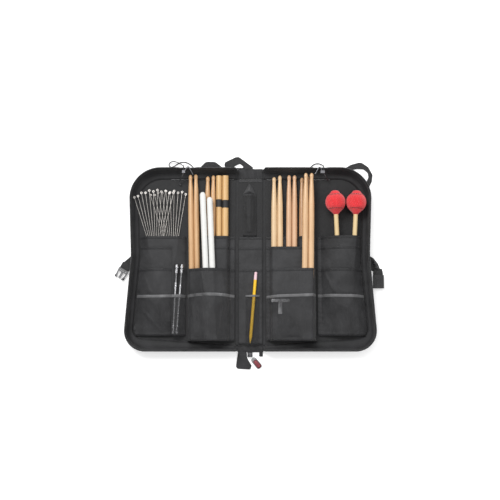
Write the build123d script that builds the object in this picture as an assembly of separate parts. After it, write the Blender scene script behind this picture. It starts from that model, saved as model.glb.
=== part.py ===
from build123d import *
import os, math

# Stick bag for a drummer: a zipped nylon folder lying open on its back.
# Frame: origin on the ground under the middle of the spine, +X to the right
# leaf, +Y to the stick tips (top edge), +Z up.  Millimetres.

# ---------------------------------------------------------------- dimensions
HX = 33.0            # hinge line of each leaf from the middle of the spine
HZ = 2.0             # height of the hinge lines (middle of the panel)
PANEL_T = 4.0        # padded panel thickness
SHELL_T = 3.2        # outer nylon with its foam
SPINE_HALF = 30.5    # half width of the spine panel
LEAF_IN = 35.5       # inner edge of each leaf panel
RIM_Z = 33.2         # top of the gusset wall
COIL_T = 1.5         # zip coil height on the rim
SHEET = 0.8          # pocket cloth
STICK_R = 7.1        # 5A stick radius
STICK_L = 405.0      # 16 inch stick
WEB_T = 1.3          # webbing thickness
WEB_W = 25.0         # webbing width
WIRE_R = 0.6         # brush wire radius
CORD_D = 2.5         # hang cord diameter
HOOK_R = 1.3         # hang hook wire radius

# pocket mouths (top edges), from the longest pocket to the mesh one
T1, T2, T3, T4 = 56.0, 30.0, -24.0, -87.0
BOT_IN = -197.0      # pocket bottoms near the spine
BOT_OUT = -184.0     # pocket bottoms near the outer corners

os.makedirs("parts", exist_ok=True)
parts = {}


def put(name, *solids):
    out = []
    for s in solids:
        out += s.solids() if hasattr(s, "solids") else [s]
    parts[name] = out


def bx(x0, x1, y0, y1, z0, z1):
    return Pos((x0 + x1) / 2, (y0 + y1) / 2, (z0 + z1) / 2) * Box(
        abs(x1 - x0), abs(y1 - y0), abs(z1 - z0))


def plate(pts, z0, z1, radii=None):
    """Closed outline in plan, extruded from z0 to z1."""
    line = Polyline(*[(x, y) for x, y in pts], close=True)
    f = make_face(line)
    if radii:
        f = fillet(f.vertices(), radii)
    return Pos(0, 0, z0) * extrude(f, z1 - z0)


def yz_prism(pts, x0, x1):
    """Outline in the Y-Z plane, extruded along X from x0 to x1."""
    w = Wire.make_polygon([Vector(x0, y, z) for y, z in pts], close=True)
    return Solid.extrude(Face(w), Vector(x1 - x0, 0, 0))


def rod(p, q, r):
    p, q = Vector(*p), Vector(*q)
    d = q - p
    return Solid.make_cylinder(r, d.length, Plane(origin=p, z_dir=d))


def turned(profile, p, q):
    """Revolved profile [(s, r)...], laid along the line from p to q."""
    p, q = Vector(*p), Vector(*q)
    pts = [(r, 0, s) for s, r in profile]
    w = Wire.make_polygon([Vector(*a) for a in pts], close=True)
    body = Solid.revolve(Face(w), 360.0, Axis.Z)
    return Plane(origin=p, z_dir=q - p).location * body


# ------------------------------------------------------------ leaf outlines
# each: y_top, x_top, r_top, x_waist, x_bot, y_bot_out, y_bot_in, r_bot
BASE = (201.0, 277.0, 60.0, 272.0, 288.0, -190.0, -210.0, 26.0)
BELLY = (215.0, 292.0, 70.0, 284.0, 301.0, -216.0, -219.5, 42.0)
MID = (222.0, 296.0, 74.0, 287.5, 305.0, -222.0, -223.0, 48.0)
RIM = (224.0, 297.0, 75.0, 288.0, 306.0, -224.0, -224.0, 50.0)


def outline(sec, off, z, side, x_in):
    yt, xt, rt, xw, xb, ybo, ybi, rb = sec
    pts = [(x_in, yt - off), (xt - off, yt - off), (xw - off, 5.0),
           (xb - off, ybo + off), (x_in, ybi + off)]
    pts = [(side * x, y, z) for x, y in pts]
    path = FilletPolyline(*pts, radius=[rt - off, 300.0, rb - off])
    return Wire(path.edges() + [Edge.make_line(Vector(*pts[-1]), Vector(*pts[0]))])


def loft_of(secs, side, x_in):
    """secs: [(section, offset, z)...]"""
    return Solid.make_loft([outline(s, o, z, side, x_in) for s, o, z in secs], True)


def outer_solid(side):
    return loft_of([(BASE, 0, PANEL_T), (BELLY, 0, 7.0), (MID, 0, 20.0), (RIM, 0, RIM_Z)], side, LEAF_IN)


def between(a, b, t):
    return tuple(u + (v - u) * t for u, v in zip(a, b))


def leaf_shell(side, tag):
    shell = extrude(Face(outline(BASE, 0.0, 0.0, side, LEAF_IN)), SHELL_T, dir=(0, 0, 1))
    lining = extrude(Face(outline(BASE, 0.0, SHELL_T, side, LEAF_IN)),
                     PANEL_T - SHELL_T, dir=(0, 0, 1))
    outer = outer_solid(side)
    inner = loft_of([(BASE, 3, PANEL_T), (BELLY, 3, 8.2), (MID, 3, 20.0), (RIM, 3, RIM_Z)], side, LEAF_IN - 6)
    tape_sec = between(MID, RIM, 0.5)
    t_z = 26.6
    tape_full = loft_of([(tape_sec, 1.7, t_z), (RIM, 1.7, RIM_Z)], side, LEAF_IN - 3)
    wall = outer - inner - tape_full
    tape = (tape_full - inner) & bx(side * LEAF_IN, side * 400, -400, 400, 0, 60)
    c_out = Face(outline(RIM, 0.7, RIM_Z, side, LEAF_IN))
    c_in = Face(outline(RIM, 2.7, RIM_Z, side, LEAF_IN - 4))
    coil = extrude(c_out, COIL_T, dir=(0, 0, 1)) - extrude(c_in, COIL_T, dir=(0, 0, 1))
    return shell, lining, wall, tape, coil


# --------------------------------------------------------------- the spine
spine_shell = bx(-SPINE_HALF, SPINE_HALF, -210, 201, 0, SHELL_T)
put("spine_outer_shell", spine_shell)
put("spine_lining", bx(-SPINE_HALF, SPINE_HALF, -210, 201, SHELL_T, PANEL_T))
put("spine_end_gussets",
    bx(-SPINE_HALF, SPINE_HALF, 201, 224, 0, 4.4),
    bx(-SPINE_HALF, SPINE_HALF, -224, -210, 0, 4.4))

TP = (-18.0, 15.5, 58.0, 163.0)        # tall tool pocket on the spine
tall = (bx(TP[0], TP[1], TP[2], TP[3], 9.2, 10.0)
        + bx(TP[0], TP[0] + SHEET, TP[2], TP[3], PANEL_T, 9.2)
        + bx(TP[1] - SHEET, TP[1], TP[2], TP[3], PANEL_T, 9.2)
        + bx(TP[0], TP[1], TP[2], TP[2] + SHEET, PANEL_T, 9.2))
put("spine_tool_pocket", tall)
z = PANEL_T
put("spine_flat_pockets",
    bx(-28, 28, BOT_IN - 8, T1, z, z + SHEET)
    + bx(-28, 28, BOT_IN - 8, T2, z + SHEET, z + 2 * SHEET)
    + bx(-28, 28, BOT_IN - 8, T3, z + 2 * SHEET, z + 3 * SHEET))
SLEEVE_TOP = 15.4
SX0, SX1, SY0 = -12.0, 22.0, -206.0
zs = PANEL_T + 3 * SHEET
put("pencil_mesh_sleeve",
    bx(SX0, SX1, SY0, T4, SLEEVE_TOP - SHEET, SLEEVE_TOP)
    + bx(SX0, SX0 + SHEET, SY0, T4, PANEL_T, SLEEVE_TOP - SHEET)
    + bx(SX1 - SHEET, SX1, SY0, T4, PANEL_T, SLEEVE_TOP - SHEET)
    + bx(SX0, SX1, SY0, SY0 + SHEET, PANEL_T, SLEEVE_TOP - SHEET)
    - bx(-28, 28, BOT_IN - 8, T1, 0, zs))

# zip end: slider parked below the spine, end tab and stop tab
put("zip_end_tabs", plate([(-30, -224), (-35, -259), (-31, -264), (0, -266), (3, -256),
                           (-5, -243.5), (-8, -237), (-9, -224)], 0, 3.0),
    bx(21, 30, -235, -224, 0, 2.4))
slider = (bx(-7, 5, -236, -224, 0.4, 2.0) + bx(-7, 5, -236, -224, 4.6, 6.2)
          + bx(-2.2, 0.2, -235, -225, 2.0, 4.6))
# arch on the top wing that the pull hangs from
slider += bx(-5.2, 3.2, -235.4, -234.0, 6.2, 7.0)
put("zip_slider", slider)

# pull: link ring, metal frame and moulded insert, pointing away from the slider
PD = Vector(23, -28, 0).normalized()
PA = Vector(PD.Y * -1, PD.X, 0)         # across the pull


def along(s, t, zz=0.0):
    o = Vector(5.3, -239.3, 0)
    v = o + PD * s + PA * t
    return (v.X, v.Y)


def pull_plate(s0, s1, t, z0, z1):
    return plate([along(s0, -t), along(s1, -t), along(s1, t), along(s0, t)], z0, z1)


frame_m = pull_plate(0, 30, 7.5, 1.0, 4.0) - pull_plate(4.5, 27, 5.0, 0, 6) + pull_plate(-1.6, 0, 2.0, 1.4, 3.6)
put("zip_pull_frame", frame_m)
put("zip_pull_insert", pull_plate(4.6, 26.9, 4.9, 0.8, 4.2))

# ---------------------------------------------------------------- left leaf
shell, lining, wall, tape, coil = leaf_shell(-1, "left")
strap_l = plate([(-313.8, -9.8), (-292.8, -22.3), (-252, 8), (-266, 31)], 0, WEB_T)
shell = shell - strap_l
NOTCH_L = bx(-169.5, -138.5, 205, 230, 29.5, 40)
anchor_l = bx(-143, -135, 209, 217.5, 5.9, 10.2)
put("left_outer_shell", shell)
put("left_lining", lining)
put("left_gusset_wall", (wall - NOTCH_L) + (anchor_l - outer_solid(-1)))
put("left_zip_tape", tape - NOTCH_L)
put("left_zip_coil", coil - NOTCH_L)
put("left_buckle_webbing", strap_l)


def tray(x0, x1, yb, yt, z_low, z_sheet, low=None):
    """Pocket: cloth sheet at z_sheet with side and bottom edges down to z_low."""
    s = bx(x0, x1, yb, yt, z_sheet, z_sheet + SHEET)
    if z_sheet - z_low > 0.01:
        s += bx(x0, x0 + SHEET, yb, yt, z_low, z_sheet)
        s += bx(x1 - SHEET, x1, yb, yt, z_low, z_sheet)
        s += bx(x0, x1, yb, yb + SHEET, z_low, z_sheet)
    return s


P = PANEL_T
# column limits on the left leaf
L1a, L1b, L1c = -267.0, -190.5, -157.0     # brush column and its pleat
A0, A1x = -152.0, -117.4                   # front natural pair column
B0, B1x = -117.0, -52.0                    # painted pair over natural pair, and rods
W1x = -76.0                                # inner edge of the painted pair's hump

put("left_long_pocket",
    tray(L1a, L1c, BOT_OUT, T1, P, 16.2),
    tray(A0, A1x, BOT_IN, T1, P, P)
    + tray(A1x, B1x, BOT_IN, T1, P, 21.4))
put("left_middle_pocket",
    tray(L1a, L1b, BOT_OUT, T2, 17.0, 21.6),
    tray(A0, A1x, BOT_IN, T2, P + SHEET, P + SHEET)
    , tray(A1x, B1x, BOT_IN, T2, 22.2, 22.2))
put("left_short_pocket",
    tray(L1a, L1b, BOT_OUT, T3, 22.4, 27.0),
    tray(A0, A1x, BOT_IN, T3, P + 2 * SHEET, 20.2),
    tray(B0, W1x, BOT_IN, T3, 23.0, 37.5),
    tray(W1x, B1x, BOT_IN, T3, 23.0, 23.0))
put("left_mesh_pocket",
    tray(L1a, L1b, BOT_OUT, T4, 27.8, 32.4),
    tray(L1b, L1c, BOT_OUT, T4, 17.0, 27.0),
    tray(A0, A1x, BOT_IN, T4, 21.0, 26.0),
    tray(B0, W1x, BOT_IN, T4, 38.3, 38.3),
    tray(W1x, B1x, BOT_IN, T4, 23.8, 28.0))

# --------------------------------------------------------------- drumsticks
STICK = [(0, 0), (0, 5.6), (1.6, STICK_R), (300, STICK_R), (330, 6.9), (368, 5.5),
         (390, 4.1), (392.5, 4.05), (396.5, 4.75), (400, 4.6), (403.2, 3.3),
         (404.7, 1.5), (405, 0)]


def stick(tip, butt_x, zc, length=STICK_L, r=STICK_R):
    """Stick lying with its tip at (x, y) and its butt towards -Y."""
    x, y = tip
    dx = x - butt_x
    dy = math.sqrt(length ** 2 - dx ** 2)
    prof = [(s if s < 5 else s + length - STICK_L, q if q < 5.6 else q * r / STICK_R)
            for s, q in STICK]
    return turned(prof, (butt_x, y - dy, zc), (x, y, zc))


SLIM_R = 6.7         # slimmer 7A sticks
ZA = P + 2 * SHEET + SLIM_R
put("stick_pair_a", stick((-147.2, 209.0), -139.3, ZA, r=SLIM_R), stick((-134.0, 210.0), -125.4, ZA, r=SLIM_R))
ZB = P + STICK_R
put("stick_pair_b", stick((-104.5, 205.5), -109.2, ZB, 401), stick((-90.6, 208.0), -94.8, ZB, 401))
ZW = 23.0 + STICK_R


def painted(top, butt, zc, n=358.0):
    prof = [(0, 0), (0, 6), (1.4, STICK_R), (n - 8, STICK_R), (n - 4, 6.0), (n - 1, 3.4), (n, 0)]
    return turned(prof, (butt[0], butt[1], zc), (top[0], top[1], zc))


put("white_stick_pair", painted((-116.5, 163.0), (-100.0, -194.6), ZW),
    painted((-99.4, 151.0), (-84.4, -195.0), ZW, 346.2))

# bundled dowel rods with two binding bands
ROD1 = ((-76.9, -190, P + 7.1), (-76.9, 206, 13.75))
ROD2 = ((-61.4, -190, P + 7.75), (-61.4, 206, 14.4))
put("bundle_rods", rod(*ROD1, 7.1), rod(*ROD2, 7.75))


def band(line, r, y0, y1):
    a, b = line
    f0, f1 = (y0 - a[1]) / (b[1] - a[1]), (y1 - a[1]) / (b[1] - a[1])
    p0 = tuple(u + (v - u) * f0 for u, v in zip(a, b))
    p1 = tuple(u + (v - u) * f1 for u, v in zip(a, b))
    return rod(p0, p1, r + 0.30) - rod(p0, p1, r + 0.02)


put("bundle_rod_bands", band(ROD1, 7.1, 128, 147), band(ROD2, 7.75, 126, 145))

# ------------------------------------------------------------- wire brushes


def brush(x0, y0, zc, lo, hi, n, reach, drop):
    """Fan of n wires from a flat ferrule at (x0, y0); lo..hi are its edge angles."""
    s = bx(x0 - 7.8, x0 + 7.8, y0 - 10, y0, zc - 2.6, zc + 2.6)
    for i in range(n):
        t = i / (n - 1)
        a = math.radians(lo + (hi - lo) * t)
        xs = x0 - 6.4 + 12.8 * t
        ys = y0 - 2.0
        le = reach - (drop if t < 0.5 else 3.0) * abs(2 * t - 1) ** 2 - (3.5 if i % 2 else 0.0)
        xe, ye = xs + math.sin(a) * le, ys + math.cos(a) * le
        s += rod((xs, ys, zc), (xe, ye, zc), WIRE_R)
        ring = Solid.make_cylinder(2.7, 1.2, Plane(origin=(xe + math.sin(a) * 2.1, ye + math.cos(a) * 2.1, zc - 0.6)))
        hole = Solid.make_cylinder(1.5, 2.4, Plane(origin=(xe + math.sin(a) * 2.1, ye + math.cos(a) * 2.1, zc - 1.2)))
        s = s + ring - hole
    return s


put("brush_a_wires", brush(-230.0, 8.0, 12.9, -18.0, 12.5, 11, 163.0, 10.0))
put("brush_b_wires", brush(-190.5, 8.0, 7.2, -17.5, 9.3, 10, 162.0, 3.0))
put("brush_handles", rod((-230, -2.4, 10), (-228, -150, 10), 6.0),
    rod((-190.5, -2.6, 10), (-197, -150, 10), 6.0))

# ------------------------------------------------------- chromed beater rods
BT = [((-186.1, -181.0, 20.6), (-178.2, -14.0, 20.6)),
      ((-177.2, -181.0, 20.6), (-165.4, -14.0, 20.6))]


def beater(line, extra):
    a, b = Vector(*line[0]), Vector(*line[1])
    d = (b - a)
    n = d.length
    prof = [(0, 0), (0, 3.2), (4, 3.2), (5, 2.3), (n - 22, 2.3), (n - 20, 3.4), (n - 12, 3.4),
            (n - 10, 2.3), (n - 5, 2.3), (n - 4, 2.9), (n, 2.9), (n, 0)]
    if extra:
        prof = prof[:4] + [(n - 50, 2.3), (n - 49, 3.0), (n - 44, 3.0), (n - 43, 2.3)] + prof[4:]
    return turned(prof, line[0], line[1])


put("beater_rod_a", beater(BT[0], True))
put("beater_rod_b", beater(BT[1], False))

# --------------------------------------------------------- left hang cord


def tube(points, d):
    pts = [Vector(*p) for p in points]
    radii = []
    for a, b, c in zip(pts, pts[1:], pts[2:]):
        u, v = b - a, c - b
        ang = math.radians(u.get_angle(v))
        radii.append(0.45 * min(u.length, v.length) / math.tan(ang / 2))
    print("cord radii", [round(r, 1) for r in radii])
    path = FilletPolyline(*points, radius=radii)
    w = Wire(path.edges())
    start = Plane(origin=pts[0], z_dir=pts[1] - pts[0])
    prof = Wire.make_circle(d / 2, start)
    t = Solid.sweep(Face(prof), w)
    print("cord length", round(w.length, 1), "volume ratio",
          round(t.volume / (math.pi * d * d / 4 * w.length), 4))
    return t


CORD_L = [(-139, 217.5, 8), (-139, 222.5, 8), (-140.3, 228.2, 5.2), (-144.8, 234.3, 2.2),
          (-152, 240, 1.4), (-162, 244, 1.45), (-172.5, 243, 1.4), (-181.5, 238, 1.45),
          (-188.5, 232.5, 1.4), (-196, 230, 1.5), (-202, 235, 2.0), (-199, 242.5, 3.6),
          (-189.5, 244.5, 6.6), (-178.5, 241.5, 7.2), (-171, 236.5, 10.0),
          (-166.5, 232, 17.5), (-164.2, 229.6, 26.0), (-163.0, 227.0, 31.6),
          (-163, 221.6, 32.6), (-163, 216, 32.6)]
put("left_hang_cord", tube(CORD_L, CORD_D))


def bent(points, r, rad):
    path = FilletPolyline(*points, radius=rad)
    w = Wire(path.edges())
    pts = [Vector(*p) for p in points]
    return Solid.sweep(Face(Wire.make_circle(r, Plane(origin=pts[0], z_dir=pts[1] - pts[0]))), w)


hook_l = bent([(-140.0, 206, 31), (-152.5, 228.5, 31), (-162, 212, 31), (-167, 203, 26),
               (-172.5, 193, 14), (-175, 187.5, 9.6), (-170.5, 184.5, 8.6)], HOOK_R,
              [3.0, 6.0, 6.0, 5.0, 2.0])
put("left_hang_hook", hook_l + bx(-166.5, -159.5, 209.5, 216, 30.2, 34.3))

# left carry handle: folded webbing tab at the top edge
hand_l = plate([(-131, 202.7), (-131, 223), (-111.5, 243.2), (-107, 244.6), (-89, 244.4),
                (-84.5, 242.6), (-68.4, 229.6), (-68.4, 202.7)], 0.05, 2.55)
hand_l += rod((-131, 202.7, 1.3), (-68.4, 202.7, 1.3), 1.25)
put("left_handle", hand_l)

# spine grab loop
loop = plate([(-60, 225.7), (-64.6, 236), (-62.5, 243.5), (-36, 256.2), (-29.5, 256.8),
              (-24, 253.5), (12.7, 225.7)], 0.05, 2.55)
loop = loop - plate([(-41, 229), (-38.5, 233.5), (-28, 238.6), (-24.5, 238.6), (-14.5, 229)], -1, 5)
loop += rod((-60, 225.7, 1.3), (12.7, 225.7, 1.3), 1.25)
put("spine_grab_loop", loop)

# left side-release plug, laid at an angle on its webbing end
PO = Vector(-303.3, -16.05, 0)                       # middle of the webbing end
PU = Vector(-13.4, -24.1, 0).normalized()            # the way the plug points
PV = Vector(-PU.Y, PU.X, 0)                          # across it


def plug_pt(s, t):
    v = PO + PU * s + PV * t
    return (v.X, v.Y)


def plug_plate(s0, s1, t0, t1, z0, z1):
    return plate([plug_pt(s0, t0), plug_pt(s1, t0), plug_pt(s1, t1), plug_pt(s0, t1)], z0, z1)


plug = plug_plate(1.8, 9.0, -12.2, 12.2, 0.2, WEB_T + 0.3)          # short webbing fold
a0, b0 = plug_pt(1.8, -12.2), plug_pt(1.8, 12.2)
plug += rod((a0[0], a0[1], 0.9), (b0[0], b0[1], 0.9), 0.7)
body = plug + plug_plate(9.0, 17.0, -12.6, 12.6, 0.2, 7.4) - plug_plate(12.0, 14.5, -9.6, 9.6, 0, 9)
body += plug_plate(17.0, 33.0, -2.6, 2.6, 1.6, 5.6)
body += plate([plug_pt(17, -12.6), plug_pt(27, -11.6), plug_pt(34, -8.6), plug_pt(34, -5.4),
               plug_pt(24, -9.0), plug_pt(17, -9.8)], 1.2, 6.2)
body += plate([plug_pt(17, 12.6), plug_pt(27, 11.6), plug_pt(34, 8.6), plug_pt(34, 5.4),
               plug_pt(24, 9.0), plug_pt(17, 9.8)], 1.2, 6.2)
put("left_buckle_plug", body)

# ---------------------------------------------------------------- right leaf
shell, lining, wall, tape, coil = leaf_shell(1, "right")
strap_r = plate([(250, 32), (299.9, 4.7), (310.7, -9), (318, -28.2), (298, -28.2), (250, -2)], 0, WEB_T)
NOTCH_R = bx(156.5, 184.5, 205, 230, 29.5, 40)
put("right_outer_shell", shell - strap_r)
put("right_lining", lining)
put("right_gusset_wall", (wall - NOTCH_R) + (bx(142, 150, 209, 217.5, 5.9, 10.2) - outer_solid(1)))
put("right_zip_tape", tape - NOTCH_R)
put("right_zip_coil", coil - NOTCH_R)
put("right_buckle_webbing", strap_r)

C0, C1x = 48.8, 115.2        # two pairs side by side
E0, E1x = 115.6, 158.5       # pair over pair
F0 = 119.5
M0, M1x = 172.5, 269.0       # mallet column


def slope(y):
    """Underside of the long pocket over the mallet handles."""
    return 16.0 + (y - BOT_OUT) * 0.0575


def ramp(yt, lift, low_lift):
    """Sloping pocket over the mallets; lift above the long pocket's underside."""
    yb = BOT_OUT
    zt, zb = slope(yt) + lift, slope(yb) + lift
    s = yz_prism([(yb, zb), (yt, zt), (yt, zt + SHEET), (yb, zb + SHEET)], M0, M1x)
    if lift > low_lift + 0.01 or low_lift < 0:
        lo = (lambda y: P) if low_lift < 0 else (lambda y: slope(y) + low_lift)
        side = [(yb, lo(yb)), (yt, lo(yt)), (yt, zt), (yb, zb)]
        s += yz_prism(side, M0, M0 + SHEET)
        s += yz_prism(side, M1x - SHEET, M1x)
        ye = yb + SHEET
        s += yz_prism([(yb, lo(yb)), (ye, lo(ye)), (ye, slope(ye) + lift), (yb, zb)], M0, M1x)
    return s


put("right_long_pocket",
    tray(C0, C1x, BOT_IN, T1, P, P),
    tray(E0, E1x, BOT_IN, T1, P, 18.6),
    ramp(T1, 0.0, -1))
put("right_middle_pocket",
    tray(C0, C1x, BOT_IN, T2, P + SHEET, 19.4),
    tray(E0, E1x, BOT_IN, T2, 19.4, 19.4),
    ramp(T2, SHEET, SHEET))
put("right_short_pocket",
    tray(C0, C1x, BOT_IN, T3, 20.2, 20.2),
    tray(F0, E1x, BOT_IN, T3, 20.2, 34.6),
    ramp(T3, 2 * SHEET + 4.6, 2 * SHEET))
put("right_mesh_pocket",
    tray(C0, C1x, BOT_IN, T4, 21.0, 28.6),
    tray(F0, E1x, BOT_IN, T4, 35.4, 35.4),
    ramp(T4, 3 * SHEET + 9.2, 3 * SHEET + 4.6))

ZC = P + SHEET + STICK_R
put("stick_pair_c", stick((58.2, 203.4), 57.2, ZC, 399), stick((72.4, 207.5), 71.9, ZC, 399))
ZD = P + SHEET + SLIM_R
put("stick_pair_d", stick((95.2, 208.4), 91.6, ZD, 404, SLIM_R), stick((108.6, 208.4), 106.2, ZD, 404, SLIM_R))
ZE = P + STICK_R
put("stick_pair_e", stick((126.6, 202.2), 124.2, ZE, 397), stick((141.4, 204.8), 140.6, ZE, 397))
ZF = 20.2 + STICK_R
put("stick_pair_f", stick((135.7, 210.5), 128.2, ZF), stick((149.7, 210.5), 143.8, ZF))

# wound mallets
MZ = lambda y: 10.0 + (y + 183.0) * 0.05717
MAL = [((220.0, -181.0), (206.8, 138.6)), ((239.8, -181.0), (257.5, 138.6))]
HEAD = [(-31, 6.2), (-26, 9.5), (-20, 16.0), (-13, 22.0), (-6, 24.0), (6, 24.0), (13, 22.0),
        (19, 15.5), (22, 11.0), (26, 10.0), (28, 7.5), (28, 0), (-31, 0)]
for i, (b, h) in enumerate(MAL):
    pb = Vector(b[0], b[1], MZ(b[1]))
    ph = Vector(h[0], h[1], MZ(h[1]))
    d = (ph - pb).normalized()
    end = ph + d * 22
    n = "left" if i == 0 else "right"
    shaft = rod(tuple(pb), tuple(end), 5.5)
    head = turned(HEAD, tuple(ph), tuple(ph + d * 10)) - rod(tuple(ph - d * 60), tuple(ph + d * 22.2), 5.55)
    put(f"mallet_{n}_handle", shaft)
    put(f"mallet_{n}_head", head)

# T-shaped drum key in the mesh pocket
KEYX = 71.6
key = bx(50.4, 99.0, -105.6, -98.2, 21.3, 28.1)
key = fillet(key.edges().filter_by(Axis.Z), 2.6)
key += bx(KEYX - 4.6, KEYX + 4.6, -134, -105.6, 21.3, 28.1)
key -= bx(KEYX - 2.7, KEYX + 2.7, -135, -124, 22.0, 27.4)
put("drum_key", key)

# pencil in the spine sleeve
PB, PT = Vector(-0.6, -203.0, 10.4), Vector(13.4, -31.0, 10.4)
pd = (PT - PB).normalized()
put("pencil_shaft", turned([(0, 0), (0, 0.6), (16, 3.7), ((PT - PB).length - 19, 3.7),
                            ((PT - PB).length - 19, 0)], tuple(PB), tuple(PT)))
pe = PT - pd * 19
put("pencil_eraser", turned([(0, 0), (0, 3.75), (12, 3.75), (12.01, 3.3), (17.4, 3.3), (19, 2.4), (19, 0)],
                            tuple(pe), tuple(PT)))

# right hang cord and hook
CORD_R = [(146, 217.5, 8), (146, 222.5, 8), (147.4, 228, 5.2), (151.4, 233.5, 2.2),
          (158.2, 238.6, 1.4), (166.5, 240.0, 1.5), (174.2, 237.4, 4.2), (178.2, 233.0, 11.0),
          (178.6, 230.6, 19.5), (178.2, 229.4, 27.0), (178.4, 226.8, 31.8),
          (178.9, 221.4, 32.6), (178.9, 215.5, 32.6)]
put("right_hang_cord", tube(CORD_R, CORD_D))
hook_r = bent([(158.4, 207.5, 31), (168.8, 227.5, 31), (177, 212, 31), (184, 203.5, 23),
               (191.0, 194.5, 12)], HOOK_R, [3.0, 6.0, 6.0])
put("right_hang_hook", hook_r + bx(171.0, 181.2, 209.0, 215.5, 30.2, 34.3))

# right carry loop around the top corner
rl_out = [(228.5, 218.3), (231, 226.5), (247, 236.5), (268, 242.4), (276, 241.5), (291, 231),
          (301.4, 211.5), (299, 194), (291, 178), (287, 159.8)]
rl = plate(rl_out, 0.05, 2.55)
rl = rl - plate([(243.5, 213.5), (244.5, 222.5), (262, 226), (279, 225.2), (289.5, 216), (291, 205),
                 (286, 194), (281.5, 187.5)], -1, 5)
hx = Vector(287 - 228.5, 159.8 - 218.3, 0).normalized()
rl += rod((229.5, 217.3, 1.3), (286.0, 160.8, 1.3), 1.25)
put("right_handle_loop", rl)

# right side-release socket on its webbing end
sw = bx(298.6, 322.0, -38.0, -30.2, 0.2, WEB_T + 0.3)
sw += rod((298.6, -30.2, 0.9), (322.0, -30.2, 0.9), 0.7)
sock = bx(297.6, 324.0, -70.0, -38.0, 0.2, 11.0)
sock = fillet(sock.edges().filter_by(Axis.Y), 2.5) + sw
sock -= bx(300.2, 321.4, -71, -44, 2.4, 9.0)
sock -= bx(296, 299.0, -58, -48, 3.6, 8.0)
sock -= bx(322.6, 326, -58, -48, 3.6, 8.0)
put("right_buckle_socket", sock)

# ------------------------------------------------------------------- export
for name, solids in parts.items():
    shape = solids[0] if len(solids) == 1 else Compound(children=solids)
    export_step(shape, f"parts/{name}.step")
print(len(parts), "nodes")
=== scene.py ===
import math
import bpy, bmesh
import numpy as np
from mathutils import Vector, Matrix, noise, geometry


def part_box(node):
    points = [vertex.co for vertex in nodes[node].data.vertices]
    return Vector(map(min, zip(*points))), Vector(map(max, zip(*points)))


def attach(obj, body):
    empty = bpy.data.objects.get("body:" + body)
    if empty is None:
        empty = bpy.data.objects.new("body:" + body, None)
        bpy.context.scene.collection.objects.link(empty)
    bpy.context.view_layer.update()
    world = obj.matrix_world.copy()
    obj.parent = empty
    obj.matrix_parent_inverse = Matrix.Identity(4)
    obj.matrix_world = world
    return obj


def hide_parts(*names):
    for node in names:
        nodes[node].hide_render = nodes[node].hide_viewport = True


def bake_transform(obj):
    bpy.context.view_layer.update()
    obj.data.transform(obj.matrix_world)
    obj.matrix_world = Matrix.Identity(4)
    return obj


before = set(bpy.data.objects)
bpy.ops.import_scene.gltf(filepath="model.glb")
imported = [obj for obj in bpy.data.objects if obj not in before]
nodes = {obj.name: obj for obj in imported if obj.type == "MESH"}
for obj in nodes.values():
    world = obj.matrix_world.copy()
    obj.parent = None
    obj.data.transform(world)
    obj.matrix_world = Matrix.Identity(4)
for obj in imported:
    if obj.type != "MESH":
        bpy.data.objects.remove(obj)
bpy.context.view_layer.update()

MM = 0.001
scene = bpy.context.scene

# ------------------------------------------------------------------ camera
cam = bpy.data.cameras.new("camera")
cam_o = bpy.data.objects.new("camera", cam)
scene.collection.objects.link(cam_o)
cam.sensor_width = 36.0
cam.lens = 76.6
cam.clip_end = 50.0
TILT = math.radians(8.0)
cam_o.location = (-0.001, 0.0245 - 2.6 * math.sin(TILT), 2.6 * math.cos(TILT))
look = Vector((-0.001, 0.0245, 0.0)) - Vector(cam_o.location)
cam_o.rotation_euler = look.to_track_quat("-Z", "Y").to_euler()
scene.camera = cam_o


# --------------------------------------------------------------- materials
def node(m, kind, inp=None, **props):
    x = m.node_tree.nodes.new(kind)
    for k, v in props.items():
        setattr(x, k, v)
    for k, v in (inp or {}).items():
        if isinstance(v, bpy.types.NodeSocket):
            m.node_tree.links.new(v, x.inputs[k])
        else:
            x.inputs[k].default_value = v
    return x


def start(name, rough=0.6, metal=0.0, **kw):
    m = bpy.data.materials.new(name)
    m.use_nodes = True
    p = m.node_tree.nodes["Principled BSDF"]
    p.inputs["Roughness"].default_value = rough
    p.inputs["Metallic"].default_value = metal
    for k, v in kw.items():
        p.inputs[k].default_value = v
    co = node(m, "ShaderNodeTexCoord").outputs["Object"]
    return m, p, co


def rot(m, co, ang, scale=(1, 1, 1)):
    return node(m, "ShaderNodeMapping", {"Vector": co, "Rotation": (0, 0, ang), "Scale": scale}).outputs[0]


def noise_n(m, co, scale, detail=3.0, rough=0.55, dist=0.0):
    return node(m, "ShaderNodeTexNoise", {"Vector": co, "Scale": scale, "Detail": detail, "Roughness": rough, "Distortion": dist}).outputs[0]


def wave(m, co, pitch, axis="X", dist=0.0):
    return node(m, "ShaderNodeTexWave", {"Vector": co, "Scale": 0.314159 / pitch, "Distortion": dist, "Detail": 1.0},
                bands_direction=axis, wave_profile="SIN").outputs["Fac"]


def math_n(m, op, a, b=0.0, clamp=False):
    return node(m, "ShaderNodeMath", {0: a, 1: b}, operation=op, use_clamp=clamp).outputs[0]


def ramp(m, fac, stops):
    r = node(m, "ShaderNodeValToRGB", {"Fac": fac})
    e = r.color_ramp.elements
    while len(e) < len(stops):
        e.new(0.5)
    for i, (pos, c) in enumerate(stops):
        e[i].position = pos
        e[i].color = (c[0], c[1], c[2], 1)
    return r.outputs[0]


def bump(m, p, height, dist, strength=1.0, normal=None):
    inp = {"Height": height, "Distance": dist, "Strength": strength}
    if normal is not None:
        inp["Normal"] = normal
    b = node(m, "ShaderNodeBump", inp).outputs[0]
    m.node_tree.links.new(b, p.inputs["Normal"])
    return b


def link(m, a, b):
    m.node_tree.links.new(a, b)


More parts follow.
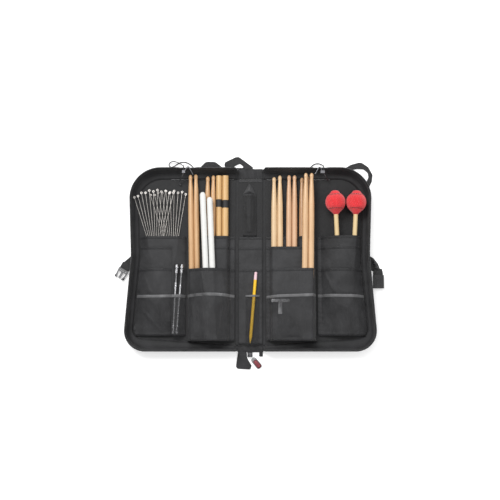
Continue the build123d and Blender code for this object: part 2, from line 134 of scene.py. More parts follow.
def rough_from(m, p, fac, lo, hi):
    r = node(m, "ShaderNodeMapRange", {"Value": fac, "To Min": lo, "To Max": hi}).outputs[0]
    link(m, r, p.inputs["Roughness"])


def cloth_mat(name, dark, light, pitch=0.0012, angle=0.0, rough=0.62, sheen=0.25, depth=0.00018,
              crease=0.0010, twill=False, dust=0.0):
    """Woven nylon: two thread directions, soft creases, tone patches and a little lint."""
    m, p, co = start(name, rough)
    p.inputs["Sheen Weight"].default_value = sheen
    p.inputs["Sheen Roughness"].default_value = 0.45
    p.inputs["Specular IOR Level"].default_value = 0.35
    c = rot(m, co, angle)
    if twill:
        a = wave(m, rot(m, co, angle + 0.78), pitch)
        b = wave(m, rot(m, co, angle), pitch * 1.9)
    else:
        a = wave(m, c, pitch)
        b = wave(m, c, pitch, "Y")
    weave = math_n(m, "MULTIPLY", a, b)
    tone = noise_n(m, co, 22.0, 5.0, 0.6, 0.3)
    fine = noise_n(m, co, 900.0, 2.0)
    col = ramp(m, tone, [(0.32, dark), (0.68, light)])
    mx = node(m, "ShaderNodeMix", data_type="RGBA")
    link(m, math_n(m, "MULTIPLY", weave, 0.45), mx.inputs["Factor"])
    link(m, col, mx.inputs[6])
    link(m, ramp(m, fine, [(0.3, [v * 1.35 + 0.003 for v in light]), (0.8, [v * 2.1 + 0.006 for v in light])]), mx.inputs[7])
    out = mx.outputs[2]
    if dust:
        lint = node(m, "ShaderNodeMix", data_type="RGBA")
        link(m, ramp(m, noise_n(m, co, 420.0, 4.0, 0.7, 1.2), [(0.66, (0, 0, 0)), (0.76, (dust,) * 3)]), lint.inputs["Factor"])
        link(m, out, lint.inputs[6])
        lint.inputs[7].default_value = (0.22, 0.22, 0.23, 1)
        out = lint.outputs[2]
    link(m, out, p.inputs["Base Color"])
    rough_from(m, p, tone, rough - 0.1, rough + 0.12)
    b1 = bump(m, p, noise_n(m, co, 55.0, 6.0, 0.62, 0.6), crease, 0.75)
    bump(m, p, weave, depth, 0.9, b1)
    return m


def webbing_mat(name, angle, col=(0.0052, 0.0052, 0.0057), pitch=0.0016):
    """Ribs run across the strap; angle is the strap's own direction."""
    m, p, co = start(name, 0.55)
    p.inputs["Sheen Weight"].default_value = 0.12
    c = rot(m, co, -angle)
    ribs = wave(m, c, pitch, "X")
    warp = wave(m, c, 0.0011, "Y")
    tone = noise_n(m, co, 45.0, 4.0)
    h = math_n(m, "ADD", ribs, math_n(m, "MULTIPLY", warp, 0.45))
    cc = ramp(m, h, [(0.0, [v * 0.6 for v in col]), (1.0, [v * 2.1 + 0.004 for v in col])])
    mx = node(m, "ShaderNodeMix", data_type="RGBA", blend_type="MULTIPLY")
    mx.inputs["Factor"].default_value = 0.8
    link(m, cc, mx.inputs[6])
    link(m, ramp(m, tone, [(0.3, (0.65,) * 3), (0.75, (1.25,) * 3)]), mx.inputs[7])
    link(m, mx.outputs[2], p.inputs["Base Color"])
    b1 = bump(m, p, tone, 0.0006, 0.5)
    bump(m, p, h, 0.00025, 1.0, b1)
    rough_from(m, p, tone, 0.42, 0.7)
    return m


def wood_mat(name, pale, dark, axis_scale=(1, 0.045, 1), gloss=0.38, ang=0.0, flecks=0.5):
    """Lacquered turned wood; the grain runs along the stick."""
    m, p, co = start(name, gloss)
    p.inputs["Coat Weight"].default_value = 0.35
    p.inputs["Coat Roughness"].default_value = 0.22
    c = rot(m, co, ang, axis_scale)
    g1 = noise_n(m, c, 260.0, 6.0, 0.6, 1.2)
    g2 = noise_n(m, rot(m, co, ang, (1, 0.02, 1)), 900.0, 3.0, 0.5)
    big = noise_n(m, co, 11.0, 2.0)
    f = math_n(m, "ADD", math_n(m, "MULTIPLY", g1, 0.7), math_n(m, "MULTIPLY", g2, 0.3))
    base = ramp(m, f, [(0.30, dark), (0.52, [0.5 * (a + b) for a, b in zip(pale, dark)]), (0.70, pale)])
    mx = node(m, "ShaderNodeMix", data_type="RGBA", blend_type="MULTIPLY")
    mx.inputs["Factor"].default_value = flecks
    link(m, base, mx.inputs[6])
    link(m, ramp(m, big, [(0.3, (0.86, 0.80, 0.74)), (0.7, (1.0, 1.0, 1.0))]), mx.inputs[7])
    link(m, mx.outputs[2], p.inputs["Base Color"])
    rough_from(m, p, g1, gloss - 0.08, gloss + 0.14)
    bump(m, p, f, 0.00012, 0.6)
    return m


def metal_mat(name, col, rough, scratch=0.00006, brushed=True):
    m, p, co = start(name, rough, 1.0)
    g = noise_n(m, rot(m, co, 0.3, (1, 0.15, 1)), 900.0 if brushed else 200.0, 4.0, 0.6)
    tone = noise_n(m, co, 60.0, 3.0)
    link(m, ramp(m, tone, [(0.3, [v * 0.72 for v in col]), (0.7, col)]), p.inputs["Base Color"])
    rough_from(m, p, g, max(0.04, rough - 0.08), rough + 0.14)
    bump(m, p, g, scratch, 0.5)
    return m


def plastic_mat(name, col, rough=0.42, grain=0.00008, vary=0.25):
    m, p, co = start(name, rough)
    g = noise_n(m, co, 1400.0, 3.0, 0.6)
    tone = noise_n(m, co, 55.0, 4.0)
    link(m, ramp(m, tone, [(0.3, [v * (1 - vary) for v in col]), (0.75, [min(1, v * (1 + vary) + 0.004) for v in col])]), p.inputs["Base Color"])
    rough_from(m, p, tone, rough - 0.08, rough + 0.15)
    bump(m, p, g, grain, 0.6)
    return m


def mesh_mat(name, col, pitch=0.0026, open_at=0.72):
    """Knitted see-through mesh: threads in two directions with open cells between."""
    m, p, co = start(name, 0.6)
    p.inputs["Sheen Weight"].default_value = 0.25
    c = rot(m, co, 0.62)
    a, b = wave(m, c, pitch), wave(m, c, pitch, "Y")
    mx = math_n(m, "MAXIMUM", a, b)
    mask = node(m, "ShaderNodeMapRange", {"Value": mx, "From Min": open_at - 0.08, "From Max": open_at + 0.08}).outputs[0]
    link(m, mask, p.inputs["Alpha"])
    tone = noise_n(m, co, 35.0, 4.0)
    link(m, ramp(m, tone, [(0.3, [v * 0.7 for v in col]), (0.72, [v * 1.5 + 0.004 for v in col])]), p.inputs["Base Color"])
    b1 = bump(m, p, noise_n(m, co, 70.0, 5.0), 0.0009, 0.6)
    bump(m, p, mx, 0.0003, 0.8, b1)
    return m


def yarn_mat(name, col):
    m, p, co = start(name, 0.85)
    p.inputs["Sheen Weight"].default_value = 0.55
    p.inputs["Sheen Roughness"].default_value = 0.5
    f = noise_n(m, co, 700.0, 5.0, 0.7, 1.5)
    t = noise_n(m, co, 60.0, 3.0)
    base = ramp(m, f, [(0.28, [v * 0.35 for v in col]), (0.6, col), (0.85, [min(1, v * 1.15 + 0.05) for v in col])])
    mx = node(m, "ShaderNodeMix", data_type="RGBA", blend_type="MULTIPLY")
    mx.inputs["Factor"].default_value = 0.7
    link(m, base, mx.inputs[6])
    link(m, ramp(m, t, [(0.3, (0.75, 0.7, 0.7)), (0.7, (1.1, 1.1, 1.1))]), mx.inputs[7])
    link(m, mx.outputs[2], p.inputs["Base Color"])
    bump(m, p, f, 0.0005, 0.9)
    return m


BAG = cloth_mat("bag_nylon", (0.0065, 0.0065, 0.007), (0.025, 0.025, 0.0268), 0.0013, sheen=0.12, dust=0.28)
LINING = cloth_mat("lining_nylon", (0.005, 0.005, 0.0055), (0.012, 0.012, 0.0132), 0.0011, sheen=0.10, rough=0.55, dust=0.22)
POCKET = cloth_mat("pocket_nylon", (0.0100, 0.0100, 0.0108), (0.034, 0.034, 0.0362), 0.0010, sheen=0.12, rough=0.55, dust=0.15)
BINDING = cloth_mat("binding_tape", (0.008, 0.008, 0.0088), (0.022, 0.022, 0.024), 0.0009, angle=0.785, sheen=0.12, rough=0.5, crease=0.0004, dust=0.2)
ELASTIC = cloth_mat("elastic_hem", (0.030, 0.030, 0.031), (0.17, 0.17, 0.175), 0.0014, rough=0.55, crease=0.0005, dust=0.5)
ZTAPE = cloth_mat("zip_tape_cloth", (0.006, 0.006, 0.0066), (0.014, 0.014, 0.0155), 0.0009, sheen=0.1, twill=True, crease=0.0003)
MESHM = mesh_mat("pocket_mesh_knit", (0.024, 0.024, 0.026))
SLEEVE = mesh_mat("sleeve_mesh_knit", (0.013, 0.013, 0.0142), 0.0028, 0.90)
THREAD = cloth_mat("sewing_thread", (0.018, 0.018, 0.019), (0.045, 0.045, 0.048), 0.0006, crease=0.0001)
# zip coil: its strong random tone (vary 0.75) gives lighter patches along the zip, partly dust specks and partly
# painted glints
COIL = plastic_mat("zip_coil_nylon", (0.055, 0.055, 0.058), 0.26, 0.00005, 0.75)
YARN = yarn_mat("red_wool", (0.93, 0.026, 0.036))
YARN_D = yarn_mat("red_wool_dark", (0.16, 0.004, 0.008))
# pleat_nylon is a lighter copy of the pocket nylon: on the pleat over the tool pocket it is a painted highlight for the
# light on the raised fold; the spine's top binding uses it too
PLEAT = cloth_mat("pleat_nylon", (0.016, 0.016, 0.017), (0.055, 0.055, 0.058), 0.0010, rough=0.45, dust=0.2)
GRIPM = plastic_mat("knurl_rubber", (0.015, 0.015, 0.016), 0.5, 0.0002)
CORDM = cloth_mat("braided_cord", (0.012, 0.012, 0.013), (0.03, 0.03, 0.032), 0.0007, angle=0.785, crease=0.0001)


# -------------------------------------------------------------- mesh tools
def mesh_obj(name, verts, faces, mat, smooth=True, scale=MM):
    me = bpy.data.meshes.new(name)
    v = np.asarray(verts, float) * scale
    me.from_pydata(v.tolist(), [], [list(map(int, f)) for f in faces])
    me.validate()
    me.update()
    if smooth:
        me.polygons.foreach_set("use_smooth", [True] * len(me.polygons))
    me.materials.append(mat)
    o = bpy.data.objects.new(name, me)
    scene.collection.objects.link(o)
    return o


def give(o, body, slot, *cad):
    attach(o, body)
    if cad:
        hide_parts(*cad)
    return o


class Soup:
    """Collects many small solids into one mesh."""

    def __init__(self):
        self.v, self.f, self.n = [], [], 0

    def add(self, v, f):
        self.v.extend([tuple(map(float, p)) for p in v])
        self.f.extend([[i + self.n for i in q] for q in f])
        self.n += len(v)

    def obj(self, name, mat):
        return mesh_obj(name, self.v, self.f, mat)


def tube_into(soup, pts, radius, sides=8, flat=1.0, up=None, closed=False, caps=True):
    """A tube along points; flat squeezes it along its own second axis."""
    P = [Vector(p) for p in pts]
    n = len(P)
    rad = radius if hasattr(radius, "__len__") else [radius] * n
    verts, faces = [], []
    prev = None
    for i in range(n):
        if closed:
            t = (P[(i + 1) % n] - P[i - 1]).normalized()
        else:
            t = (P[min(i + 1, n - 1)] - P[max(i - 1, 0)]).normalized()
        if up is not None:
            a = Vector(up)
            a = (a - t * a.dot(t))
            a = a.normalized() if a.length > 1e-6 else t.orthogonal().normalized()
        elif prev is None:
            a = t.orthogonal().normalized()
        else:
            a = (prev - t * prev.dot(t)).normalized()
        prev = a
        b = t.cross(a)
        for k in range(sides):
            an = 2 * math.pi * k / sides
            verts.append(P[i] + (b * math.cos(an) + a * (math.sin(an) * flat)) * rad[i])
    for i in range(n if closed else n - 1):
        for k in range(sides):
            a0, a1 = i * sides + k, i * sides + (k + 1) % sides
            j = (i + 1) % n
            faces.append([a0, a1, j * sides + (k + 1) % sides, j * sides + k])
    if caps and not closed:
        faces.append([k for k in range(sides)][::-1])
        faces.append([(n - 1) * sides + k for k in range(sides)])
    soup.add(verts, faces)


def stitch_into(soup, pts, pitch=3.4, length=2.2, r=0.28):
    """Dashes of thread along a line."""
    P = np.asarray(pts, float)
    seg = np.linalg.norm(np.diff(P, axis=0), axis=1)
    s = np.concatenate([[0], np.cumsum(seg)])
    at = lambda d: [float(np.interp(d, s, P[:, k])) for k in range(3)]
    d = pitch * 0.4
    while d + length < s[-1]:
        a, b, c, e = at(d), at(d + length * 0.25), at(d + length * 0.75), at(d + length)
        tube_into(soup, [(a[0], a[1], a[2] - 0.12), b, c, (e[0], e[1], e[2] - 0.12)], [r * 0.7, r, r, r * 0.7], 5)
        d += pitch


def fillet_path(pts, radii, step=4.0, closed=False):
    """Polyline with rounded corners; each arc gets points about one step apart, the straight runs only their end
    points.
    """
    P = [Vector((p[0], p[1])) for p in pts]
    n = len(P)
    out = []
    rng = range(n) if closed else range(1, n - 1)
    if not closed:
        out.append(P[0])
    arcs = {}
    for i in rng:
        a, b, c = P[i - 1], P[i], P[(i + 1) % n]
        u, v = (a - b).normalized(), (c - b).normalized()
        ang = u.angle(v)
        r = radii[i] if hasattr(radii, "__len__") else radii
        r = max(r, 0.01)
        t = r / math.tan(ang / 2)
        t = min(t, 0.49 * (a - b).length, 0.49 * (c - b).length) if radii is not None else t
        r = t * math.tan(ang / 2)
        cen = b + (u + v).normalized() * (r / math.sin(ang / 2))
        p0, p1 = b + u * t, b + v * t
        a0 = math.atan2(p0.y - cen.y, p0.x - cen.x)
        a1 = math.atan2(p1.y - cen.y, p1.x - cen.x)
        d = (a1 - a0 + math.pi) % (2 * math.pi) - math.pi
        arcs[i] = (p0, p1, cen, r, a0, d)
    order = list(rng)
    for k, i in enumerate(order):
        p0, p1, cen, r, a0, d = arcs[i]
        m = max(3, int(round(abs(d) * r / step)) + 1) if step > 0 else 8
        for q in range(m + 1):
            an = a0 + d * q / m
            out.append(Vector((cen.x + r * math.cos(an), cen.y + r * math.sin(an))))
    if not closed:
        out.append(P[-1])
    return np.array([(p.x, p.y) for p in out])


def resample(P, n, closed=False):
    P = np.asarray(P, float)
    Q = np.vstack([P, P[:1]]) if closed else P
    s = np.concatenate([[0], np.cumsum(np.linalg.norm(np.diff(Q, axis=0), axis=1))])
    d = np.linspace(0, s[-1], n + 1)[:-1] if closed else np.linspace(0, s[-1], n)
    return np.stack([np.interp(d, s, Q[:, k]) for k in range(Q.shape[1])], 1)


def seg_dist(X, Y, P, closed=True):
    """Distance from points to a polyline."""
    P = np.asarray(P, float)
    Q = np.roll(P, -1, 0) if closed else P[1:]
    A = P if closed else P[:-1]
    d = np.full(X.shape, 1e9)
    for a, b in zip(A, Q):
        e = b - a
        L = max(float(e @ e), 1e-12)
        t = np.clip(((X - a[0]) * e[0] + (Y - a[1]) * e[1]) / L, 0, 1)
        d = np.minimum(d, np.hypot(X - a[0] - t * e[0], Y - a[1] - t * e[1]))
    return d


def inside(X, Y, P):
    P = np.asarray(P, float)
    r = np.zeros(X.shape, bool)
    j = len(P) - 1
    for i in range(len(P)):
        xi, yi, xj, yj = P[i][0], P[i][1], P[j][0], P[j][1]
        hit = ((yi > Y) != (yj > Y)) & (X < (xj - xi) * (Y - yi) / (yj - yi + 1e-15) + xi)
        r ^= hit
        j = i
    return r


def nz(x, y, z=0.0, s=1.0):
    return noise.noise(Vector((x * s, y * s, z)))


def plan_mesh(outline, holes=(), spacing=4.0, rings=(0.5, 1.4, 3.0)):
    """Triangles over an outline in plan, with rings near the edge; gives points, triangles, edge distance."""
    outline = np.asarray(outline, float)
    loops = [outline] + [np.asarray(h, float) for h in holes]
    pts = [tuple(p) for L in loops for p in L]
    edges, base = [], 0
    for L in loops:
        edges += [(base + i, base + (i + 1) % len(L)) for i in range(len(L))]
        base += len(L)
    lo, hi = outline.min(0), outline.max(0)
    gx = np.arange(lo[0] + spacing * 0.37, hi[0], spacing)
    gy = np.arange(lo[1] + spacing * 0.41, hi[1], spacing)
    X, Y = np.meshgrid(gx, gy)
    X = X + ((np.arange(len(gy)) % 2) * spacing * 0.5)[:, None]
    X, Y = X.ravel(), Y.ravel()
    ok = inside(X, Y, outline)
    for h in holes:
        ok &= ~inside(X, Y, h)
    X, Y = X[ok], Y[ok]
    D = np.min([seg_dist(X, Y, L) for L in loops], 0) if len(X) else np.zeros(0)
    keep = D > (rings[-1] + spacing * 0.45 if rings else spacing * 0.4)
    for x, y in zip(X[keep], Y[keep]):
        pts.append((x, y))
    for r in rings:
        for li, L in enumerate(loops):
            T = np.roll(L, -1, 0) - np.roll(L, 1, 0)
            T /= np.linalg.norm(T, axis=1)[:, None] + 1e-12
            area = 0.5 * np.sum(L[:, 0] * np.roll(L[:, 1], -1) - np.roll(L[:, 0], -1) * L[:, 1])
            s = 1.0 if area > 0 else -1.0
            if li:
                s = -s
            C = L + np.stack([-T[:, 1], T[:, 0]], 1) * s * r
            d = np.min([seg_dist(C[:, 0], C[:, 1], M) for M in loops], 0)
            for (x, y), dd in zip(C, d):
                if dd > r * 0.9:
                    pts.append((x, y))
    vs, es, fs, *_ = geometry.delaunay_2d_cdt([Vector(p) for p in pts], edges, [], 0, 1e-5)
    V = np.array([(v.x, v.y) for v in vs])
    F = np.array([list(f) for f in fs if len(f) == 3])
    cx, cy = V[F].mean(1).T
    ok = inside(cx, cy, outline)
    for h in holes:
        ok &= ~inside(cx, cy, h)
    F = F[ok]
    used = np.unique(F)
    remap = -np.ones(len(V), int)
    remap[used] = np.arange(len(used))
    V, F = V[used], remap[F]
    a = V[F]
    area = (a[:, 1, 0] - a[:, 0, 0]) * (a[:, 2, 1] - a[:, 0, 1]) - (a[:, 2, 0] - a[:, 0, 0]) * (a[:, 1, 1] - a[:, 0, 1])
    F[area < 0] = F[area < 0][:, ::-1]
    D = np.min([seg_dist(V[:, 0], V[:, 1], L) for L in loops], 0)
    return V, F, D


def soft_plate(name, outline, z0, z1, mat, holes=(), spacing=4.0, edge=1.2, crown=0.0, wob=0.0, seed=0.0,
               rings=(0.25, 0.7, 1.4, 3.0), lift=None, under=0.0):
    """A flat padded or webbing shape with rounded edges, a crowned top and slight waves."""
    V, F, D = plan_mesh(outline, holes, spacing, rings)
    mid = 0.5 * (z0 + z1)
    k = np.clip(D / edge, 0, 1)
    rnd = np.sqrt(np.clip(1 - (1 - k) ** 2, 0, 1))
    w = np.array([nz(x, y, seed, 0.045) for x, y in V]) * wob
    broad = 1 - np.exp(-D / 18.0)
    top = mid + (z1 - mid) * rnd + crown * broad + w * np.clip(D / 4, 0, 1)
    bot = mid - (mid - z0) * rnd + under * np.clip(D / 4, 0, 1) * np.array([0.5 + 0.5 * nz(x, y, seed + 9, 0.03) for x, y in V])
    if lift is not None:
        L = np.array([lift(x, y) for x, y in V])
        top, bot = top + L, bot + L
    n = len(V)
    e = D < 1e-6
    verts = np.vstack([np.column_stack([V, np.where(e, mid if lift is None else mid + L, top)]), np.column_stack([V, bot])])
    idx = np.arange(n) + n
    idx[e] = np.nonzero(e)[0]
    faces = [list(f) for f in F] + [[int(idx[i]) for i in f[::-1]] for f in F]
    used = sorted(set(i for f in faces for i in f))
    mp = {u: i for i, u in enumerate(used)}
    return mesh_obj(name, verts[used], [[mp[i] for i in f] for f in faces], mat)


EXTRA = {}

# ------------------------------------------------------------------- cords
CORD_D = 2.5
CORD_L = [(-139, 217.5, 8), (-139, 222.5, 8), (-140.3, 228.2, 5.2), (-144.8, 234.3, 2.2), (-152, 240, 1.4),
          (-162, 244, 1.45), (-172.5, 243, 1.4), (-181.5, 238, 1.45), (-188.5, 232.5, 1.4), (-196, 230, 1.5),
          (-202, 235, 2.0), (-199, 242.5, 3.6), (-189.5, 244.5, 6.6), (-178.5, 241.5, 7.2), (-171, 236.5, 10.0),
          (-166.5, 232, 17.5), (-164.2, 229.6, 26.0), (-163.0, 227.0, 31.6), (-163, 221.6, 32.6), (-163, 216, 32.6)]
CORD_R = [(146, 217.5, 8), (146, 222.5, 8), (147.4, 228, 5.2), (151.4, 233.5, 2.2), (158.2, 238.6, 1.4),
          (166.5, 240.0, 1.5), (174.2, 237.4, 4.2), (178.2, 233.0, 11.0), (178.6, 230.6, 19.5), (178.2, 229.4, 27.0),
          (178.4, 226.8, 31.8), (178.9, 221.4, 32.6), (178.9, 215.5, 32.6)]


def nurbs_cord(name, route, body, cad):
    cu = bpy.data.curves.new(name, "CURVE")
    cu.dimensions = "3D"
    sp = cu.splines.new("NURBS")
    sp.points.add(len(route) - 1)
    for p, q in zip(sp.points, route):
        p.co = (q[0] * MM, q[1] * MM, q[2] * MM, 1.0)
    sp.order_u = 3
    sp.use_endpoint_u = True
    sp.resolution_u = 10
    cu.bevel_depth = CORD_D * 0.5 * MM
    cu.bevel_resolution = 4
    cu.use_fill_caps = True
    cu.materials.append(CORDM)
    o = bpy.data.objects.new(name, cu)
    scene.collection.objects.link(o)
    give(o, body, "cord", cad)
    return o


nurbs_cord("left_cord", CORD_L, "left_leaf", "left_hang_cord")
nurbs_cord("right_cord", CORD_R, "right_leaf", "right_hang_cord")

# ------------------------------------------------------------ leaf outlines
SECS = [  # y_top, x_top, r_top, x_waist, x_bot, y_bot_out, y_bot_in, r_bot, z
    (201, 277, 60, 272, 288, -190, -210, 26, 4.0),
    (215, 292, 70, 284, 301, -216, -219.5, 42, 7.0),
    (222, 296, 74, 287.5, 305, -222, -223, 48, 20.0),
    (224, 297, 75, 288, 306, -224, -224, 50, 33.2)]
X_IN = 35.5


def section(s, n=(44, 34, 30, 22, 30, 26, 44)):
    yt, xt, rt, xw, xb, ybo, ybi, rb, z = s
    P = [Vector(p) for p in ((X_IN, yt), (xt, yt), (xw, 5), (xb, ybo), (X_IN, ybi))]
    R = [0, rt, 300, rb, 0]
    pts, cur, k = [], P[0], 0
    for i in (1, 2, 3):
        a, b, c = P[i - 1], P[i], P[i + 1]
        u, v = (a - b).normalized(), (c - b).normalized()
        ang = u.angle(v)
        t = R[i] / math.tan(ang / 2)
        lim = 0.49 * min((a - b).length, (c - b).length)
        t = min(t, lim)
        r = t * math.tan(ang / 2)
        cen = b + (u + v).normalized() * (r / math.sin(ang / 2))
        p0, p1 = b + u * t, b + v * t
        for q in range(n[k]):
            pts.append(cur.lerp(p0, q / n[k]))
        k += 1
        a0 = math.atan2(p0.y - cen.y, p0.x - cen.x)
        a1 = math.atan2(p1.y - cen.y, p1.x - cen.x)
        d = (a1 - a0 + math.pi) % (2 * math.pi) - math.pi
        for q in range(n[k]):
            an = a0 + d * q / n[k]
            pts.append(Vector((cen.x + r * math.cos(an), cen.y + r * math.sin(an))))
        k += 1
        cur = p1
    for q in range(n[k] + 1):
        pts.append(cur.lerp(P[4], q / n[k]))
    return np.array([(p.x, p.y) for p in pts])


SEC = [section(s) for s in SECS]
SZ = np.array([s[8] for s in SECS])
NP_ = len(SEC[0])


def at_z(z, off=0.0):
    """The wall's outline at a height (right leaf), moved inwards by off."""
    z = min(max(z, SZ[0]), SZ[-1])
    out = np.zeros((NP_, 2))
    i = int(np.searchsorted(SZ, z, "right") - 1)
    i = min(max(i, 0), len(SZ) - 2)
    t = (z - SZ[i]) / (SZ[i + 1] - SZ[i])
    out = SEC[i] * (1 - t) + SEC[i + 1] * t
    T = np.gradient(out, axis=0)
    T /= np.linalg.norm(T, axis=1)[:, None]
    N = np.stack([T[:, 1], -T[:, 0]], 1)     # the path runs clockwise seen from above: this points inwards
    return out + N * off


def dip(side, x, y):
    """How far the rim is pressed down where the hook and cord cross it."""
    if y < 195:
        return 0.0
    lo, hi = (138.5, 169.5) if side < 0 else (156.5, 184.5)
    a = abs(x)
    sm = lambda t: max(0, min(1, t)) ** 2 * (3 - 2 * max(0, min(1, t)))
    return 5.6 * sm((a - lo + 9) / 10) * sm((hi + 9 - a) / 10)


SIDES = ((-1, "left", "left_leaf"), (1, "right", "right_leaf"))
for side, pre, body in SIDES:
    # back panel: foam between two layers of nylon, soft edge
    base = at_z(4.0)
    loop = np.vstack([resample(base, 190)])
    loop = loop * np.array([side, 1.0])
    pad = soft_plate(pre + "_back_panel", loop, 0.0, 3.25, BAG, spacing=6.0, edge=2.4, crown=0.0, wob=0.12,
                     seed=3.0 + side, rings=(0.6, 1.6, 3.2), under=0.45)
    give(pad, body, "bag_nylon", pre + "_outer_shell")

    # lining cloth on top of the foam
    lin = at_z(4.2, 1.2)
    lin[:, 0] = np.maximum(lin[:, 0], X_IN + 0.4)
    V, F, D = plan_mesh(resample(lin, 170) * np.array([side, 1.0]), (), 4.5, (1.5,))
    Z = np.array([3.72 + 0.16 * nz(x, y, 7.0 + side, 0.03) + 0.10 * nz(x, y, 2.0, 0.11) for x, y in V])
    o = mesh_obj(pre + "_lining_cloth", np.column_stack([V, Z]), F, LINING)
    give(o, body, "lining_nylon", pre + "_lining")

    # gusset wall: outer face, lip, inner face
    zs_out = [1.6, 2.6, 4.2, 5.6, 7.4, 10, 13, 16, 19, 22, 25, 28, 30.5, 32.0]
    rows = []
    for zi, z in enumerate(zs_out):
        P = at_z(max(z, 4.0), 0.25)
        rows.append((P, np.full(NP_, z), 1.0))
    rows.append((at_z(33.2, 0.7), np.full(NP_, 32.9), 0.4))
    rows.append((at_z(33.2, 1.6), np.full(NP_, 33.15), 0.2))
    rows.append((at_z(33.2, 2.5), np.full(NP_, 32.7), 0.2))
    for z in [31.0, 28.6, 26.2, 23, 20, 17, 14, 11, 8.6, 7.0, 5.2, 4.05]:
        off = 2.75 if z > 8 else 2.4 + (8 - z) * 0.05
        rows.append((at_z(max(z, 4.0), off), np.full(NP_, z), 0.55))
    nr = len(rows)
    T = np.gradient(SEC[2], axis=0)
    T /= np.linalg.norm(T, axis=1)[:, None]
    Nn = np.stack([T[:, 1], -T[:, 0]], 1)
    s_len = np.concatenate([[0], np.cumsum(np.linalg.norm(np.diff(SEC[2], axis=0), axis=1))])
    verts = []
    for ri, (P, Zr, k) in enumerate(rows):
        for i in range(NP_):
            x, y, z = P[i][0], P[i][1], Zr[i]
            v = (z - 4) / 29.0
            mid = math.sin(math.pi * min(max(v, 0), 1))
            s = s_len[i]
            w = noise.noise(Vector((s * 0.035, z * 0.05, side * 5.0))) * 1.0 + noise.noise(Vector((s * 0.11, z * 0.13, side * 9.0 + 3))) * 0.55
            crease = max(0.0, noise.noise(Vector((s * 0.018 + 4, z * 0.16 + s * 0.02, side * 2.0)))) * 1.1
            amt = (w * 1.1 + crease * 1.5) * mid
            inward = max(-0.25, min(2.1, amt))
            if ri >= 17:
                inward = min(1.5, max(-0.15, amt)) * 0.8
            x += Nn[i][0] * inward
            y += Nn[i][1] * inward
            dz = dip(side, x, y) * max(0.0, min(1.0, (z - 10) / 20.0))
            wav = (0.35 + 0.35 * noise.noise(Vector((s * 0.022, 1.7, side * 3.0)))) * max(0.0, (z - 20) / 13.0)
            end = min(1.0, s / 14.0, (s_len[-1] - s) / 14.0)
            z -= dz + wav * 0.7 + (1 - end) ** 2 * 2.2 * max(0.0, (z - 8) / 25.0)
            verts.append((x * side, y, z))
    faces = []
    for ri in range(nr - 1):
        for i in range(NP_ - 1):
            a = ri * NP_ + i
            q = [a, a + 1, a + 1 + NP_, a + NP_]
            faces.append(q if side > 0 else q[::-1])
    for i0 in (0, NP_ - 1):     # closed ends at the spine
        ring = [ri * NP_ + i0 for ri in range(nr)]
        faces.append(ring if (i0 == 0) == (side > 0) else ring[::-1])
    for i in range(NP_ - 1):    # closed foot
        a, b = i, (nr - 1) * NP_ + i
        q = [b, b + 1, a + 1, a]
        faces.append(q if side > 0 else q[::-1])
    wall = mesh_obj(pre + "_gusset", verts, faces, BAG)
    give(wall, body, "bag_nylon", pre + "_gusset_wall")

    def rim_point(i, off, dzz, side=side):
        P = RIMS[off][i]
        x, y = P
        s = s_len[i]
        wav = (0.35 + 0.35 * noise.noise(Vector((s * 0.022, 1.7, side * 3.0)))) * 0.7
        end = min(1.0, s / 14.0, (s_len[-1] - s) / 14.0)
        return (x * side, y, 33.2 + dzz - wav - dip(side, x, y) - (1 - end) ** 2 * 2.2)

    RIMS = {off: at_z(33.2, off) for off in (0.25, 0.7, 1.7, 2.6, 2.9, 3.2)}
    # bound piping round the foot and a stitch line below the rim
    soup = Soup()
    P = at_z(4.0, -0.1)
    tube_into(soup, [(p[0] * side, p[1], 2.1) for p in P[::2]], 1.5, 8)
    o = mesh_obj(pre + "_foot_piping", soup.v, soup.f, BINDING)
    give(o, body, "bag_nylon")
    # binding fold over the rim, outside of the tape
    verts, faces = [], []
    prof = [(0.05, 27.8), (-0.25, 28.4), (-0.35, 30.5), (-0.3, 32.4), (0.3, 33.35), (1.3, 33.55), (2.0, 33.3)]
    for (off, z) in prof:
        P = at_z(33.2 if z > 28 else 30.0, off)
        for i in range(NP_):
            x, y = P[i]
            s = s_len[i]
            f = max(0.0, min(1.0, (z - 20) / 13.0))
            wav = (0.35 + 0.35 * noise.noise(Vector((s * 0.022, 1.7, side * 3.0)))) * 0.7 * f
            end = min(1.0, s / 14.0, (s_len[-1] - s) / 14.0)
            tiny = 0.12 * noise.noise(Vector((s * 0.35, z, 4.0)))
            x0 = min(max(x, X_IN), 400)
            verts.append(((x0 + 0.0) * side, y + tiny, z - wav - dip(side, x, y) * f - (1 - end) ** 2 * 2.2 * f))
    for ri in range(len(prof) - 1):
        for i in range(NP_ - 1):
            a = ri * NP_ + i
            q = [a, a + 1, a + 1 + NP_, a + NP_]
            faces.append(q if side > 0 else q[::-1])
    o = mesh_obj(pre + "_rim_binding", verts, faces, BINDING)
    give(o, body, "bag_nylon")
    soup = Soup()
    stitch_into(soup, [rim_point(i, 0.25, -5.4) for i in range(3, NP_ - 3)], 3.6, 2.4, 0.26)
    o = soup.obj(pre + "_rim_stitching", THREAD)
    give(o, body, None)

